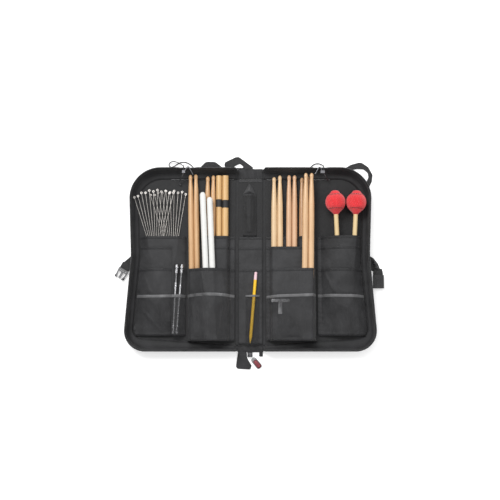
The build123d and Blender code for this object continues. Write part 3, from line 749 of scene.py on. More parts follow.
    # zip tape standing on the inner face, then the coil on its edge
    verts, faces = [], []
    prof = [(2.9, -6.8), (3.35, -6.4), (3.3, -3.0), (3.05, -0.6), (2.7, 0.15), (1.9, 0.2), (1.4, 0.1)]
    for (off, dz) in prof:
        P = at_z(33.2, off)
        for i in range(NP_):
            x, y = P[i]
            s = s_len[i]
            wav = (0.35 + 0.35 * noise.noise(Vector((s * 0.022, 1.7, side * 3.0)))) * 0.7
            end = min(1.0, s / 14.0, (s_len[-1] - s) / 14.0)
            rip = 0.22 * noise.noise(Vector((s * 0.06, 8.1, side))) if dz < -1 else 0
            x = max(x, X_IN)
            verts.append((x * side, y + rip, 33.2 + dz - wav - dip(side, x, y) - (1 - end) ** 2 * 2.2))
    for ri in range(len(prof) - 1):
        for i in range(NP_ - 1):
            a = ri * NP_ + i
            q = [a, a + 1, a + 1 + NP_, a + NP_]
            faces.append(q if side > 0 else q[::-1])
    tape = mesh_obj(pre + "_tape", verts, faces, ZTAPE)
    give(tape, body, "zip_tape", pre + "_zip_tape")
    P = resample(np.array([rim_point(i, 1.7, 0.55) for i in range(2, NP_ - 2)]), 620)
    soup = Soup()
    for i in range(1, len(P) - 1):
        t = Vector(P[i + 1] - P[i - 1]).normalized()
        b = Vector((t.y, -t.x, 0)).normalized()
        c = Vector(P[i])
        sk = t * 0.28
        tube_into(soup, [c - b * 1.0 - sk + Vector((0, 0, -0.3)), c - b * 0.85 - sk * 0.6 + Vector((0, 0, 0.1)),
                         c - b * 0.3 + Vector((0, 0, 0.42)), c + b * 0.5 + Vector((0, 0, 0.42)),
                         c + b * 0.95 + sk * 0.6 + Vector((0, 0, 0.1)), c + b * 1.0 + sk + Vector((0, 0, -0.3))],
                  0.40, 5)
    coil = soup.obj(pre + "_coil", COIL)
    give(coil, body, "zip_coil", pre + "_zip_coil")

# ------------------------------------------------------- pockets (draped cloth)
DX = 2.2


class Field:
    """Top surface of everything already laid on a leaf, on a grid."""

    def __init__(self, x0, x1, y0, y1, z0):
        self.x = np.arange(x0, x1 + DX, DX)
        self.y = np.arange(y0, y1 + DX, DX)
        self.X, self.Y = np.meshgrid(self.x, self.y)
        self.h = np.full(self.X.shape, float(z0))

    def at(self, X, Y):
        fx = np.clip((X - self.x[0]) / DX, 0, len(self.x) - 1.001)
        fy = np.clip((Y - self.y[0]) / DX, 0, len(self.y) - 1.001)
        i, j = fx.astype(int), fy.astype(int)
        a, b = fx - i, fy - j
        h = self.h
        return (h[j, i] * (1 - a) + h[j, i + 1] * a) * (1 - b) + (h[j + 1, i] * (1 - a) + h[j + 1, i + 1] * a) * b


def rod_top(X, Y, p, q, r, pad=0.7):
    """Top of a lying rod (p to q, 3-D axis ends) as a height, or a very low value beside it."""
    p, q = np.array(p, float), np.array(q, float)
    e = q[:2] - p[:2]
    L = e @ e
    t = ((X - p[0]) * e[0] + (Y - p[1]) * e[1]) / L
    tc = np.clip(t, 0, 1)
    d = np.hypot(X - p[0] - tc * e[0], Y - p[1] - tc * e[1])
    z = p[2] + (q[2] - p[2]) * tc
    rr = r + pad
    return np.where(d < rr, z + np.sqrt(np.maximum(rr * rr - d * d, 0)), -1e3)


def relax(H, O, pin, load, n, wx=0.36, wy=0.14):
    """Stretched cloth held at its seams and resting on what is under it."""
    fixed = H.copy()
    for _ in range(n):
        P = np.pad(H, 1, mode="edge")
        A = (P[1:-1, :-2] + P[1:-1, 2:]) * wx + (P[:-2, 1:-1] + P[2:, 1:-1]) * wy + load
        A = H + 0.9 * (A - H)
        H = np.maximum(O, A)
        H[pin] = fixed[pin]
    return H


def drape(F, x0, x1, yb, yt, rods, load=None, seam=0.35, gap=0.8, clear=0.0, folds=(), wr=0.7, seed=0.0,
          gather=0.0, limit=None, arch=0.0, seams=(), slope=0.0):
    """Solves one pocket panel; returns grid points (ny, nx, 3) and lays it on the field."""
    ys = np.linspace(yb, yt, max(8, int(round((yt - yb) / DX)) + 1))
    ny = len(ys)
    lx = np.array([x0(y) if callable(x0) else x0 for y in ys])
    rx = np.array([x1(y) if callable(x1) else x1 for y in ys])
    x0, x1 = float(lx.min()), float(rx.max())
    nx = max(8, int(round((x1 - x0) / DX)) + 1)
    xs = np.linspace(x0, x1, nx)
    U = np.linspace(0, 1, nx)[None, :]
    X = lx[:, None] * (1 - U) + rx[:, None] * U
    Y = np.repeat(ys[:, None], nx, 1)
    under = F.at(X, Y) + gap
    O = under + clear
    for (p, q, r) in rods:
        O = np.maximum(O, rod_top(X, Y, p, q, r))
    pin = np.zeros(X.shape, bool)
    pin[:, 0] = pin[:, -1] = True
    pin[0, :] = True
    for sx_ in seams:
        pin[:, int(np.argmin(np.abs(xs - sx_)))] = True
    base = under.copy()
    u = (Y - yb) / (yt - yb)
    ld = 0.0 if load is None else load * u ** 1.5
    # coarse to fine
    H = None
    for k in (6, 3, 1):
        sx, sy = slice(0, None, k), slice(0, None, k)
        jx = np.unique(np.concatenate([np.arange(nx)[sx], [nx - 1]]))
        jy = np.unique(np.concatenate([np.arange(ny)[sy], [ny - 1]]))
        Ok, Bk, Pk = O[np.ix_(jy, jx)], base[np.ix_(jy, jx)], pin[np.ix_(jy, jx)]
        if H is None:
            Hk = Ok.copy()
        else:
            Hk = np.array([np.interp(xs[jx], px, row) for row in H])
            Hk = np.array([np.interp(ys[jy], py, Hk[:, c]) for c in range(Hk.shape[1])]).T
        Hk = np.where(Pk, Bk + seam, np.maximum(Hk, Ok))
        lk = ld if load is None else ld[np.ix_(jy, jx)] * k * k
        H = relax(Hk, Ok, Pk, lk, 320 if k > 1 else 260)
        px, py = xs[jx], ys[jy]
    ex = np.minimum(X - lx[:, None], rx[:, None] - X)
    for sx_ in seams:
        ex = np.minimum(ex, np.abs(X - sx_))
    edge = np.minimum(ex, Y - yb)
    soft = np.clip(edge / 9.0, 0, 1)
    N = np.zeros(X.shape)
    for j in range(ny):
        for i in range(nx):
            x, y = X[j, i], Y[j, i]
            a = noise.noise(Vector((x * 0.075, y * 0.028, seed))) + 0.5 * noise.noise(Vector((x * 0.16 + y * 0.05, y * 0.07, seed + 5)))
            N[j, i] = max(0.0, a) * 1.3 + max(0.0, noise.noise(Vector(((x + y) * 0.045, (x - y) * 0.03, seed + 11)))) * 0.9
    H = H + wr * N * soft
    # puckers along the seams
    pk = np.sin(Y * 0.62 + np.sin(Y * 0.11) * 2) * np.exp(-ex / 5.0) * 0.28 * np.clip(edge, 0, 1)
    H = H + np.maximum(pk, -0.1)
    if gather:
        ph = X * 1.02 + np.sin(X * 0.17 + seed) * 1.6
        H = H + gather * (0.5 + 0.5 * np.sin(ph)) * np.exp(-(yt - Y) / 16.0) * np.clip(ex / 5, 0, 1)
    for (ax, ay, bx_, by, wid, hei) in folds:
        e = np.array([bx_ - ax, by - ay], float)
        L = float(e @ e)
        t = ((X - ax) * e[0] + (Y - ay) * e[1]) / L
        tc = np.clip(t, 0, 1)
        d = ((X - ax) * e[1] - (Y - ay) * e[0]) / math.sqrt(L)
        fade = np.sin(np.pi * np.clip(0.12 + 0.76 * tc, 0, 1)) * np.exp(-np.maximum(np.abs(t - tc) * math.sqrt(L), 0) / 6.0)
        H = H + hei * fade * (np.exp(-(d / wid) ** 2) + 0.35 * np.exp(-((d - 2.3 * wid) / wid) ** 2)) * soft
    if limit is not None:
        H = np.minimum(H, np.maximum(limit, O))
    H = np.maximum(H, O - 0.05)
    uu = (X - x0) / (x1 - x0)
    Yv = Y + ((4 * uu * (1 - uu)) * arch + (uu - 0.5) * slope) * u ** 3
    # the foot seam wraps outside the butts, each layer a hair beyond the last
    nk = int(6.0 / DX) + 1
    H[1:nk + 1] = np.maximum(H[1:nk + 1], H[1:nk + 1].max(axis=0)[None, :])
    Yv[0] = yb - 0.7 - 0.03 * (seed % 20)
    Yv[1] = yb - 1.0 - 0.03 * (seed % 20)
    # lay it on the field
    fl_, fr_ = np.interp(F.y, ys, lx), np.interp(F.y, ys, rx)
    fi = (F.X >= fl_[:, None]) & (F.X <= fr_[:, None]) & (F.Y >= yb) & (F.Y <= yt)
    if fi.any():
        wl = np.repeat(fl_[:, None], F.X.shape[1], 1)[fi]
        wr_ = np.repeat(fr_[:, None], F.X.shape[1], 1)[fi]
        gx = (F.X[fi] - wl) / (wr_ - wl) * (nx - 1)
        gy = (F.Y[fi] - yb) / (yt - yb) * (ny - 1)
        i = np.minimum(gx.astype(int), nx - 2)
        j = np.minimum(gy.astype(int), ny - 2)
        a, b = gx - i, gy - j
        v = (H[j, i] * (1 - a) + H[j, i + 1] * a) * (1 - b) + (H[j + 1, i] * (1 - a) + H[j + 1, i + 1] * a) * b
        F.h[fi] = np.maximum(F.h[fi], v)
    return np.stack([X, Yv, H], -1)


def pocket(name, grids, mat, body, slot, cad, hem_mat=None, hem_w=6.0, hem_up=0.45, stitch=True, hem_wave=0.0):
    """One pocket layer: its cloth, a bound mouth and sewing along mouth and seams."""
    hem_mat = hem_mat or BINDING
    verts, faces, base = [], [], 0
    for G in grids:
        ny, nx, _ = G.shape
        verts.append(G.reshape(-1, 3))
        idx = np.arange(ny * nx).reshape(ny, nx) + base
        q = np.stack([idx[:-1, :-1], idx[:-1, 1:], idx[1:, 1:], idx[1:, :-1]], -1).reshape(-1, 4)
        faces.append(q)
        base += ny * nx
    o = mesh_obj(name + "_cloth", np.vstack(verts), np.vstack(faces), mat)
    give(o, body, slot, cad)
    # mouth binding: a folded band that wraps the edge
    hv, hf, n0 = [], [], 0
    th = Soup()
    for G in grids:
        top = G[-1]
        dn = max(2, int(round(hem_w / DX)))
        nxg = G.shape[1]
        fine = np.linspace(0, nxg - 1, nxg * 2 - 1)
        def row(j):
            R = G[j]
            return np.stack([np.interp(fine, np.arange(nxg), R[:, k]) for k in range(3)], 1)
        r0, r1, r2 = row(-1), row(-1 - dn // 2), row(-1 - dn)
        wob = np.sin(r0[:, 0] * 1.9 + np.sin(r0[:, 0] * 0.3) * 2) * hem_wave
        prof = [r2 + [0, 0, 0.12], r2 + [0, 0.4, hem_up * 0.9], r1 + [0, 0, hem_up + 0.1], r0 + [0, -0.7, hem_up + 0.05], r0 + [0, 0.15, hem_up * 0.55],
                r0 + [0, 0.3, 0.0], r0 + [0, 0.1, -0.3], r0 + [0, -1.6, -0.42]]
        n = len(r0)
        for k, R in enumerate(prof):
            R = R.copy()
            R[:, 2] += np.maximum(wob, -0.25) * (0.6 if k else 0.0) * (1 if k < 5 else 0.2)
            hv.append(R)
        for k in range(len(prof) - 1):
            for i in range(n - 1):
                a = n0 + k * n + i
                hf.append([a, a + 1, a + 1 + n, a + n])
        n0 += n * len(prof)
        if stitch:
            stitch_into(th, r2 + [0, 1.3, hem_up + 0.22], 3.2, 2.1, 0.24)
            stitch_into(th, r0 + [0, -1.6, hem_up + 0.3], 3.2, 2.1, 0.22)
            for c in (1, -2):
                stitch_into(th, G[2:-dn, c] + [0, 0, 0.18], 3.6, 2.3, 0.22)
            stitch_into(th, G[1, 2:-2] + [0, 0, 0.18], 3.6, 2.3, 0.22)
    h = mesh_obj(name + "_mouth_binding", np.vstack(hv), hf, hem_mat)
    give(h, body, slot)
    if th.v:
        t = th.obj(name + "_stitching", THREAD)
        give(t, body, None)
    # the cut comes from the panels' plan outlines and a fixed fullness, not from the draped heights
    x0, x1 = min(G[..., 0].min() for G in grids), max(G[..., 0].max() for G in grids)
    y0, y1 = min(G[..., 1].min() for G in grids), max(G[..., 1].max() for G in grids)
    layers = [G[..., 1].max() - G[..., 1].min() for G in grids] if name == "spine_flat_pockets" else [y1 - y0]
    w, l = round((x1 - x0) * 1.12 * MM, 3), round(sum(layers) * 1.03 * MM, 3)
    EXTRA[name] = (w, l)
    return o


T1, T2, T3, T4 = 56.0, 30.0, -24.0, -87.0
BI, BO = -197.0, -184.0
PAIR_A = [((-147.2, 209, 12.3), (-139.3, -196, 12.3), 6.7), ((-134, 210, 12.3), (-125.4, -195, 12.3), 6.7)]
PAIR_B = [((-104.5, 205.5, 11.1), (-109.2, -195.5, 11.1), 7.1), ((-90.6, 208, 11.1), (-94.8, -193, 11.1), 7.1)]
WHITE = [((-116.5, 163, 30.1), (-100, -194.6, 30.1), 7.1), ((-99.4, 151, 30.1), (-84.4, -195, 30.1), 7.1)]
RODS = [((-76.9, -190, 11.1), (-76.9, 206, 13.75), 7.1), ((-61.4, -190, 11.75), (-61.4, 206, 14.4), 7.75)]
BRUSH = [((-230, -2.4, 10), (-228, -150, 10), 6.2), ((-190.5, -2.6, 10), (-197, -150, 10), 6.2),
         ((-230, 14, 11.5), (-230, -4, 10.4), 5.0), ((-190.5, 14, 9), (-190.5, -4, 9.8), 5.0)]
BEAT = [((-186.1, -181, 20.6), (-178.2, -14, 20.6), 3.7), ((-177.2, -181, 20.6), (-165.4, -14, 20.6), 3.7)]

_B = at_z(4.0, 4.6)
_k = np.argsort(_B[60:-60, 1])
WALL_X = lambda y: float(np.interp(y, _B[60:-60, 1][_k], _B[60:-60, 0][_k]))
LW = lambda y: -min(WALL_X(max(y, -165)), 284 - max(0.0, (-165 - y)) * 0.35)
RW = lambda y: -LW(y)
FL = Field(-290, -36, -201, 62, 4.1)
LB = -38.5
g_long = [drape(FL, LW, -157, BO, T1, BRUSH, load=0.02, wr=0.55, seed=1.0, limit=16.8),
          drape(FL, -152, LB, BI, T1, PAIR_B + RODS, wr=0.4, seed=3.0, gap=0.35, limit=22.4, seams=(-117.4, -50.5))]
pocket("left_long_pocket", g_long, POCKET, "left_leaf", "pocket_nylon", "left_long_pocket")
g_mid = [drape(FL, LW, -190.5, BO, T2, [], load=0.012, wr=0.6, seed=4.0, limit=22.4),
         drape(FL, -152, LB, BI, T2, [], wr=0.35, seed=6.0, gap=0.6, limit=22.9, seams=(-117.4, -50.5))]
pocket("left_middle_pocket", g_mid, POCKET, "left_leaf", "pocket_nylon", "left_middle_pocket")
g_sh = [drape(FL, LW, -190.5, BO, T3, [], load=0.03, wr=0.8, seed=7.0, limit=27.8,
              folds=[(-258, -40, -240, -85, 3.0, 1.2), (-232, -30, -236, -80, 2.6, 0.9)]),
        drape(FL, -152, LB, BI, T3, PAIR_A + WHITE, wr=0.6, seed=9.0, limit=38.3, seams=(-50.5,),
              folds=[(-118.8, -32, -109, -88, 3.0, 3.4), (-70, -30, -60, -85, 3.4, 1.4)])]
pocket("left_short_pocket", g_sh, POCKET, "left_leaf", "pocket_nylon", "left_short_pocket")
g_me = [drape(FL, LW, -190.5, BO, T4, [], load=0.05, wr=1.3, seed=10.0, gather=1.3, limit=33.2, clear=0.4, arch=-2.0,
              folds=[(-262, -120, -215, -176, 3.8, 2.2), (-225, -100, -212, -170, 3.0, 2.4), (-205, -110, -200, -165, 3.0, 1.8)]),
        drape(FL, -190.5, -157, BO, T4, BEAT, load=0.02, wr=0.6, seed=11.0, gather=1.0, limit=27.8, clear=0.4),
        drape(FL, -152, LB, BI, T4, [], load=0.03, wr=1.0, seed=13.0, gather=1.1, limit=39.1, clear=0.4, arch=3.0, seams=(-50.5,),
              folds=[(-114, -100, -108, -185, 2.8, 2.8), (-140, -110, -135, -185, 3.4, 1.6), (-66, -100, -72, -180, 3.4, 1.8)])]
pocket("left_mesh_pocket", g_me, MESHM, "left_leaf", "pocket_mesh", "left_mesh_pocket",
       hem_mat=ELASTIC, hem_w=6.5, hem_up=0.6, stitch=False, hem_wave=0.35)

SL = lambda y: 16.0 + (y + 184) * 0.0575
PAIR_C = [((58.2, 203.4, 11.9), (57.2, -195.6, 11.9), 7.1), ((72.4, 207.5, 11.9), (71.9, -191.5, 11.9), 7.1)]
PAIR_D = [((95.2, 208.4, 11.5), (91.6, -195.6, 11.5), 6.7), ((108.6, 208.4, 11.5), (106.2, -195.6, 11.5), 6.7)]
PAIR_E = [((126.6, 202.2, 11.1), (124.2, -194.8, 11.1), 7.1), ((141.4, 204.8, 11.1), (140.6, -192.2, 11.1), 7.1)]
PAIR_F = [((135.7, 210.5, 27.3), (128.2, -194.4, 27.3), 7.1), ((149.7, 210.5, 27.3), (143.8, -194.4, 27.3), 7.1)]
MH = [((220, -183, 10), (206.8, 138.6, 28.4), 5.6), ((239.8, -183, 10), (257.5, 138.6, 28.4), 5.6)]
FR = Field(36, 290, -201, 62, 4.1)
RB = 38.5
r_long = [drape(FR, RB, 158.5, BI, T1, PAIR_E, wr=0.4, seed=21.0, gap=0.35, limit=19.4, seams=(47.5, 115.4)),
          drape(FR, 163.5, RW, BO, T1, MH, load=0.02, wr=0.8, seed=23.0, limit=31, seams=(171.5,))]
pocket("right_long_pocket", r_long, POCKET, "right_leaf", "pocket_nylon", "right_long_pocket")
r_mid = [drape(FR, RB, 158.5, BI, T2, PAIR_C + PAIR_D, wr=0.45, seed=24.0, limit=20.2, gap=0.6, seams=(47.0,)),
         drape(FR, 163.5, RW, BO, T2, [], load=0.015, wr=0.6, seed=26.0, limit=31, seams=(171.5,), folds=[(166, 24, 163.5, -20, 1.6, 1.6)])]
pocket("right_middle_pocket", r_mid, POCKET, "right_leaf", "pocket_nylon", "right_middle_pocket")
r_sh = [drape(FR, RB, 158.5, BI, T3, PAIR_F, wr=0.55, seed=27.0, limit=35.4, seams=(47.0,),
              folds=[(112, -30, 115, -85, 2.8, 1.6)]),
        drape(FR, 163.5, RW, BO, T3, [], load=0.03, wr=0.9, seed=29.0, limit=33, seams=(171.5,), folds=[(178, -30, 200, -80, 3.0, 1.6)])]
pocket("right_short_pocket", r_sh, POCKET, "right_leaf", "pocket_nylon", "right_short_pocket")
KEY = [((50.4, -101.9, 24.7), (99, -101.9, 24.7), 3.8), ((71.6, -102, 24.7), (71.6, -134, 24.7), 4.4)]
r_me = [drape(FR, RB, 158.5, BI, T4, KEY, load=0.03, wr=0.9, seed=30.0, gather=1.2, limit=36.2, clear=0.4, seams=(46.5,), slope=4.0,
              folds=[(106.6, -118, 114.5, -190, 2.8, 3.0), (158, -98, 136, -185, 2.8, 2.4), (60, -140, 54, -190, 3.0, 1.6)]),
        drape(FR, 163.5, RW, BO, T4, [], load=0.045, wr=1.3, seed=32.0, gather=1.3, limit=34.2, clear=0.4, seams=(171.5,), slope=-2.0,
              folds=[(236, -112, 237.6, -178, 3.2, 3.0), (200, -110, 214, -160, 3.5, 2.0), (226, -100, 232, -125, 3.0, 2.0),
                     (250, -105, 262, -165, 3.4, 1.6)])]
pocket("right_mesh_pocket", r_me, MESHM, "right_leaf", "pocket_mesh", "right_mesh_pocket",
       hem_mat=ELASTIC, hem_w=6.5, hem_up=0.6, stitch=False, hem_wave=0.35)

# ---------------------------------------------------------------- the spine
sp_loop = resample(np.array([(-30.5, -210.5), (30.5, -210.5), (30.5, 200.5), (-30.5, 200.5)], float), 260, closed=True)
pad = soft_plate("spine_back_panel", sp_loop, 0.0, 3.25, BAG, spacing=5.0, edge=2.2, wob=0.1, seed=1.0, rings=(0.6, 1.6, 3.0), under=0.4)
give(pad, "spine", "bag_nylon", "spine_outer_shell")
V, F, D = plan_mesh(resample(np.array([(-29.8, -209.5), (29.8, -209.5), (29.8, 200), (-29.8, 200)], float), 240, True), (), 4.5, (1.5,))
Z = np.array([3.62 + 0.12 * nz(x, y, 7.0, 0.03) for x, y in V])
o = mesh_obj("spine_lining_cloth", np.column_stack([V, Z]), F, LINING)
give(o, "spine", "lining_nylon", "spine_lining")


def grid_piece(name, X, Y, Z, mat, flip=False):
    ny, nx = X.shape
    idx = np.arange(ny * nx).reshape(ny, nx)
    q = np.stack([idx[:-1, :-1], idx[:-1, 1:], idx[1:, 1:], idx[1:, :-1]], -1).reshape(-1, 4)
    if flip:
        q = q[:, ::-1]
    return mesh_obj(name, np.stack([X.ravel(), Y.ravel(), Z.ravel()], 1), q, mat)


# soft folded ends between the two gussets
verts, faces, n0 = [], [], 0
for (ya, yb2, sd) in ((201.0, 225.9, 1.0), (-224.6, -210.0, -1.0)):
    xs, ys = np.linspace(-30.3, 30.3, 41), np.linspace(ya, yb2, 15)
    X, Y = np.meshgrid(xs, ys)
    v = (Y - ya) / (yb2 - ya)
    fold = np.abs(np.sin(X / 30.3 * math.pi * 1.5 + v * 0.9)) ** 1.6
    Z = 1.6 + 2.3 * fold * (0.4 + 0.6 * np.sin(np.pi * np.clip(v, 0.05, 0.95))) + 0.25 * np.array([[nz(x, y, 4.0, 0.12) for x in xs] for y in ys])
    Z = np.clip(Z, 0.5, 4.5)
    idx = np.arange(X.size).reshape(X.shape) + n0
    lowv = np.stack([X.ravel(), Y.ravel(), np.full(X.size, 0.05)], 1)
    verts += [np.stack([X.ravel(), Y.ravel(), Z.ravel()], 1), lowv]
    top = np.stack([idx[:-1, :-1], idx[:-1, 1:], idx[1:, 1:], idx[1:, :-1]], -1).reshape(-1, 4)
    lo = top[:, ::-1] + X.size
    faces += [top, lo]
    b = np.concatenate([idx[0, :], idx[1:, -1], idx[-1, -2::-1], idx[-2:0:-1, 0]])
    faces.append(np.stack([b, b + X.size, np.roll(b, -1) + X.size, np.roll(b, -1)], 1))
    n0 += 2 * X.size
o = mesh_obj("spine_folded_ends", np.vstack(verts), np.vstack(faces), BAG)
give(o, "spine", "bag_nylon", "spine_end_gussets")

# nylon bridges between the spine and each leaf
for side, pre, body in SIDES:
    ys = np.linspace(-209, 200, 120)
    xs = np.linspace(-1.0, 1.0, 9)
    X, Y = np.meshgrid(33 + xs * 4.2, ys)
    Ztop = 2.75 - 0.9 * (1 - (xs[None, :]) ** 2) + 0.14 * np.sin(Y * 0.5 + np.sin(Y * 0.09) * 3)
    Zb = np.full(X.shape, 0.9) - 0.4 * (1 - (xs[None, :]) ** 2)
    Ztop, Zb = np.broadcast_to(Ztop, X.shape), np.broadcast_to(Zb, X.shape)
    n = X.size
    idx = np.arange(n).reshape(X.shape)
    top = np.stack([idx[:-1, :-1], idx[:-1, 1:], idx[1:, 1:], idx[1:, :-1]], -1).reshape(-1, 4)
    b = np.concatenate([idx[0, :], idx[1:, -1], idx[-1, -2::-1], idx[-2:0:-1, 0]])
    faces = np.vstack([top, top[:, ::-1] + n, np.stack([b, b + n, np.roll(b, -1) + n, np.roll(b, -1)], 1)])
    if side < 0:
        faces = faces[:, ::-1]
    v = np.vstack([np.stack([X.ravel() * side, Y.ravel(), Ztop.ravel()], 1), np.stack([X.ravel() * side, Y.ravel(), Zb.ravel()], 1)])
    o = mesh_obj(pre + "_hinge_fabric", v, faces, BAG)
    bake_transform(o)

# soft corners of the gusset, folded down from each leaf's wall to the spine
for side, pre, body in SIDES:
    for tag, sec_y, sy in (("top", [(1.6, 201.2), (4, 201), (7, 215), (20, 222), (33.0, 223.6)], 1), ("bottom", [(1.6, -210.2), (4, -210), (7, -219.5), (20, -223), (33.0, -223.7)], -1)):
        zz = np.array([p[0] for p in sec_y], float)
        yy = np.array([p[1] for p in sec_y], float)
        nu, nv = 22, 26
        us, vs = np.linspace(0, 1, nu), np.linspace(0, 1, nv)
        outer, inner = [], []
        for v in vs:
            for u in us:
                x = 28.0 + u * 9.5
                k = 0.13 + 0.84 * (u * u * (3 - 2 * u))
                zt = 1.6 + v * 31.0 * k
                yw = float(np.interp(1.6 + v * 31.0 * (0.55 + 0.42 * u), zz, yy))
                rip = 0.7 * math.sin(u * 9 + v * 5) * math.sin(math.pi * v) * math.sin(math.pi * u)
                outer.append((x * side, yw + rip, zt + 0.3 * math.sin(u * 14 + v * 3) * math.sin(math.pi * u)))
                inner.append((x * side, yw + rip - sy * 1.3, max(0.6, zt - 0.5)))
        n = nu * nv
        idx = np.arange(n).reshape(nv, nu)
        top = np.stack([idx[:-1, :-1], idx[:-1, 1:], idx[1:, 1:], idx[1:, :-1]], -1).reshape(-1, 4)
        b = np.concatenate([idx[0, :], idx[1:, -1], idx[-1, -2::-1], idx[-2:0:-1, 0]])
        F = np.vstack([top, top[:, ::-1] + n, np.stack([b, b + n, np.roll(b, -1) + n, np.roll(b, -1)], 1)])
        if side * sy > 0:
            F = F[:, ::-1]
        o = mesh_obj(pre + "_gusset_corner_" + tag, outer + inner, F, BAG)
        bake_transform(o)

# flat pockets of the spine
FS = Field(-31, 31, -208, 60, 3.9)
PEN = [((-0.6, -203, 10.4), (13.4, -31, 10.4), 3.9)]
verts = []
s_all = [drape(FS, -28, 28, -205, T1, [], wr=0.45, seed=41.0, gap=0.3, limit=5.1),
         drape(FS, -28, 28, -205, T2, [], wr=0.35, seed=42.0, gap=0.4, limit=5.8, folds=[(11, 26, 2.5, -26, 2.0, 0.5)]),
         drape(FS, -28, 28, -205, T3, [], wr=0.35, seed=43.0, gap=0.4, limit=6.5)]
pocket("spine_flat_pockets", s_all, POCKET, "spine", "pocket_nylon", "spine_flat_pockets")
s_me = [drape(FS, -12, 22, -206, T4, PEN, wr=0.5, seed=44.0, gather=0.8, limit=15.6, gap=0.3)]
pocket("spine_mesh_sleeve", s_me, SLEEVE, "spine", "pocket_mesh", "pencil_mesh_sleeve",
       hem_mat=ELASTIC, hem_w=5.0, hem_up=0.5, stitch=False, hem_wave=0.3)
FT = Field(-31, 31, 50, 205, 3.9)
s_to = [drape(FT, -18, 15.5, 58, 163, [((-1.5, 70, 3.5), (-1.5, 158, 3.5), 5.2)], wr=0.9, seed=45.0, limit=10.2, gap=0.3,
              folds=[(-9, 155, -7.5, 80, 2.2, 1.2), (8, 150, 6, 90, 2.2, 1.0)])]
# the tool pocket uses the darker lining nylon, which paints the shade that falls on this bulging pocket
pocket("spine_tool_pocket", s_to, LINING, "spine", "pocket_nylon", "spine_tool_pocket")
# pleat of spare cloth over the tool pocket, in the lighter pleat nylon: a painted highlight for the light falling on
# the raised fold
V, F, D = plan_mesh(resample(np.array([(-17.5, 163.2), (12.5, 163.2), (0.6, 186.0), (-3.6, 188.5)], float), 70, True), (), 2.0, (0.8,))
Z = 4.1 + 5.2 * np.clip(D / 7.0, 0, 1) ** 0.8
o = mesh_obj("spine_tool_pocket_pleat", np.column_stack([V, Z]), F, PLEAT)
give(o, "spine", "pocket_nylon")
V, F, D = plan_mesh(resample(np.array([(-28.5, 192.5), (28.5, 192.5), (28.5, 197.5), (-28.5, 197.5)], float), 120, True), (), 2.0, (0.7,))
Z = 4.0 + 0.9 * np.clip(D / 1.2, 0, 1) ** 0.5 + 0.2 * np.sin(V[:, 0] * 0.6)
o = mesh_obj("spine_top_binding", np.column_stack([V, Z]), F, PLEAT)
give(o, "spine", "pocket_nylon")
stitched_lines = [[(-27, 193.4, 5.0), (27, 193.4, 5.0)], [(-27, 196.4, 5.0), (27, 196.4, 5.0)]]
_s = Soup()
for L in stitched_lines:
    stitch_into(_s, L, 3.2, 2.1, 0.24)
give(_s.obj("spine_top_stitching", THREAD), "spine", None)

# ------------------------------------------------------- webbing and handles
def rounded(pts, r, step=1.6):
    return fillet_path(pts, [r] * len(pts), step, closed=True)


def strap(name, pts, r, z0, z1, ang, body, slot, cad, holes=(), edge=0.9, wob=0.25, seed=0.0, lift=None, crown=0.0, mat=None,
          spacing=3.0):
    loop = resample(rounded(pts, r), max(40, int(np.linalg.norm(np.diff(rounded(pts, r), axis=0), axis=1).sum() / 2.2)), True)
    hs = [resample(rounded(h, r * 0.7), max(24, int(np.linalg.norm(np.diff(rounded(h, r * 0.7), axis=0), axis=1).sum() / 2.2)), True) for h in holes]
    o = soft_plate(name, loop, z0, z1, mat or webbing_mat(name + "_weave", ang), holes=hs, spacing=spacing, edge=edge,
                   wob=wob, seed=seed, rings=(0.25, 0.7, 1.4), lift=lift, crown=crown)
    give(o, body, slot, *cad)
    return o


def stitched(name, lines, body, pitch=3.0, length=2.0, r=0.26):
    s = Soup()
    for L in lines:
        stitch_into(s, L, pitch, length, r)
    o = s.obj(name, THREAD)
    give(o, body, None)
    return o


hl = [(-131, 202.7), (-131, 223), (-111.5, 243.2), (-107, 244.6), (-89, 244.4), (-84.5, 242.6), (-68.4, 229.6), (-68.4, 202.7)]
strap("left_carry_strap", hl, 3.5, 0.1, 2.5, 0.0, "left_carry_handle", "webbing", ["left_handle"], wob=0.5, seed=2.0)
ZS = 2.62
stitched("left_carry_strap_stitching", [
    [(-127.8, 226, ZS), (-110.6, 240.4, ZS), (-106.6, 241.6, ZS), (-89.3, 241.4, ZS), (-85.8, 239.6, ZS), (-71.5, 228.4, ZS)],
    [(-124.5, 224.5, ZS), (-109.3, 237, ZS), (-89.6, 236.8, ZS), (-74.5, 225.8, ZS)]], "left_carry_handle")
gl = [(-60, 225.7), (-64.6, 236), (-62.5, 243.5), (-36, 256.2), (-29.5, 256.8), (-24, 253.5), (12.7, 225.7)]
gh = [(-41, 229), (-38.5, 233.5), (-28, 238.6), (-24.5, 238.6), (-14.5, 229)]
strap("grab_loop_strap", gl, 3.0, 0.1, 2.5, -0.55, "grab_loop", "webbing", ["spine_grab_loop"], holes=[gh], wob=0.45, seed=5.0)
stitched("grab_loop_stitching", [
    [(-60.5, 236.5, ZS), (-59.5, 241.6, ZS), (-36, 252.8, ZS), (-30, 253.3, ZS), (-26, 251, ZS), (4, 228.5, ZS)],
    [(-44.5, 230, ZS), (-41, 236.4, ZS), (-29, 242.0, ZS), (-23, 241.8, ZS), (-10.5, 230.3, ZS)]], "grab_loop")
rl = [(228.5, 218.3), (231, 226.5), (247, 236.5), (268, 242.4), (276, 241.5), (291, 231), (301.4, 211.5), (299, 194), (291, 178), (287, 159.8)]
rh = [(243.5, 213.5), (244.5, 222.5), (262, 226), (279, 225.2), (289.5, 216), (291, 205), (286, 194), (281.5, 187.5)]
strap("right_carry_strap", rl, 2.5, 0.1, 2.5, -0.35, "right_carry_loop", "webbing", ["right_handle_loop"], holes=[rh], wob=0.45, seed=7.0)
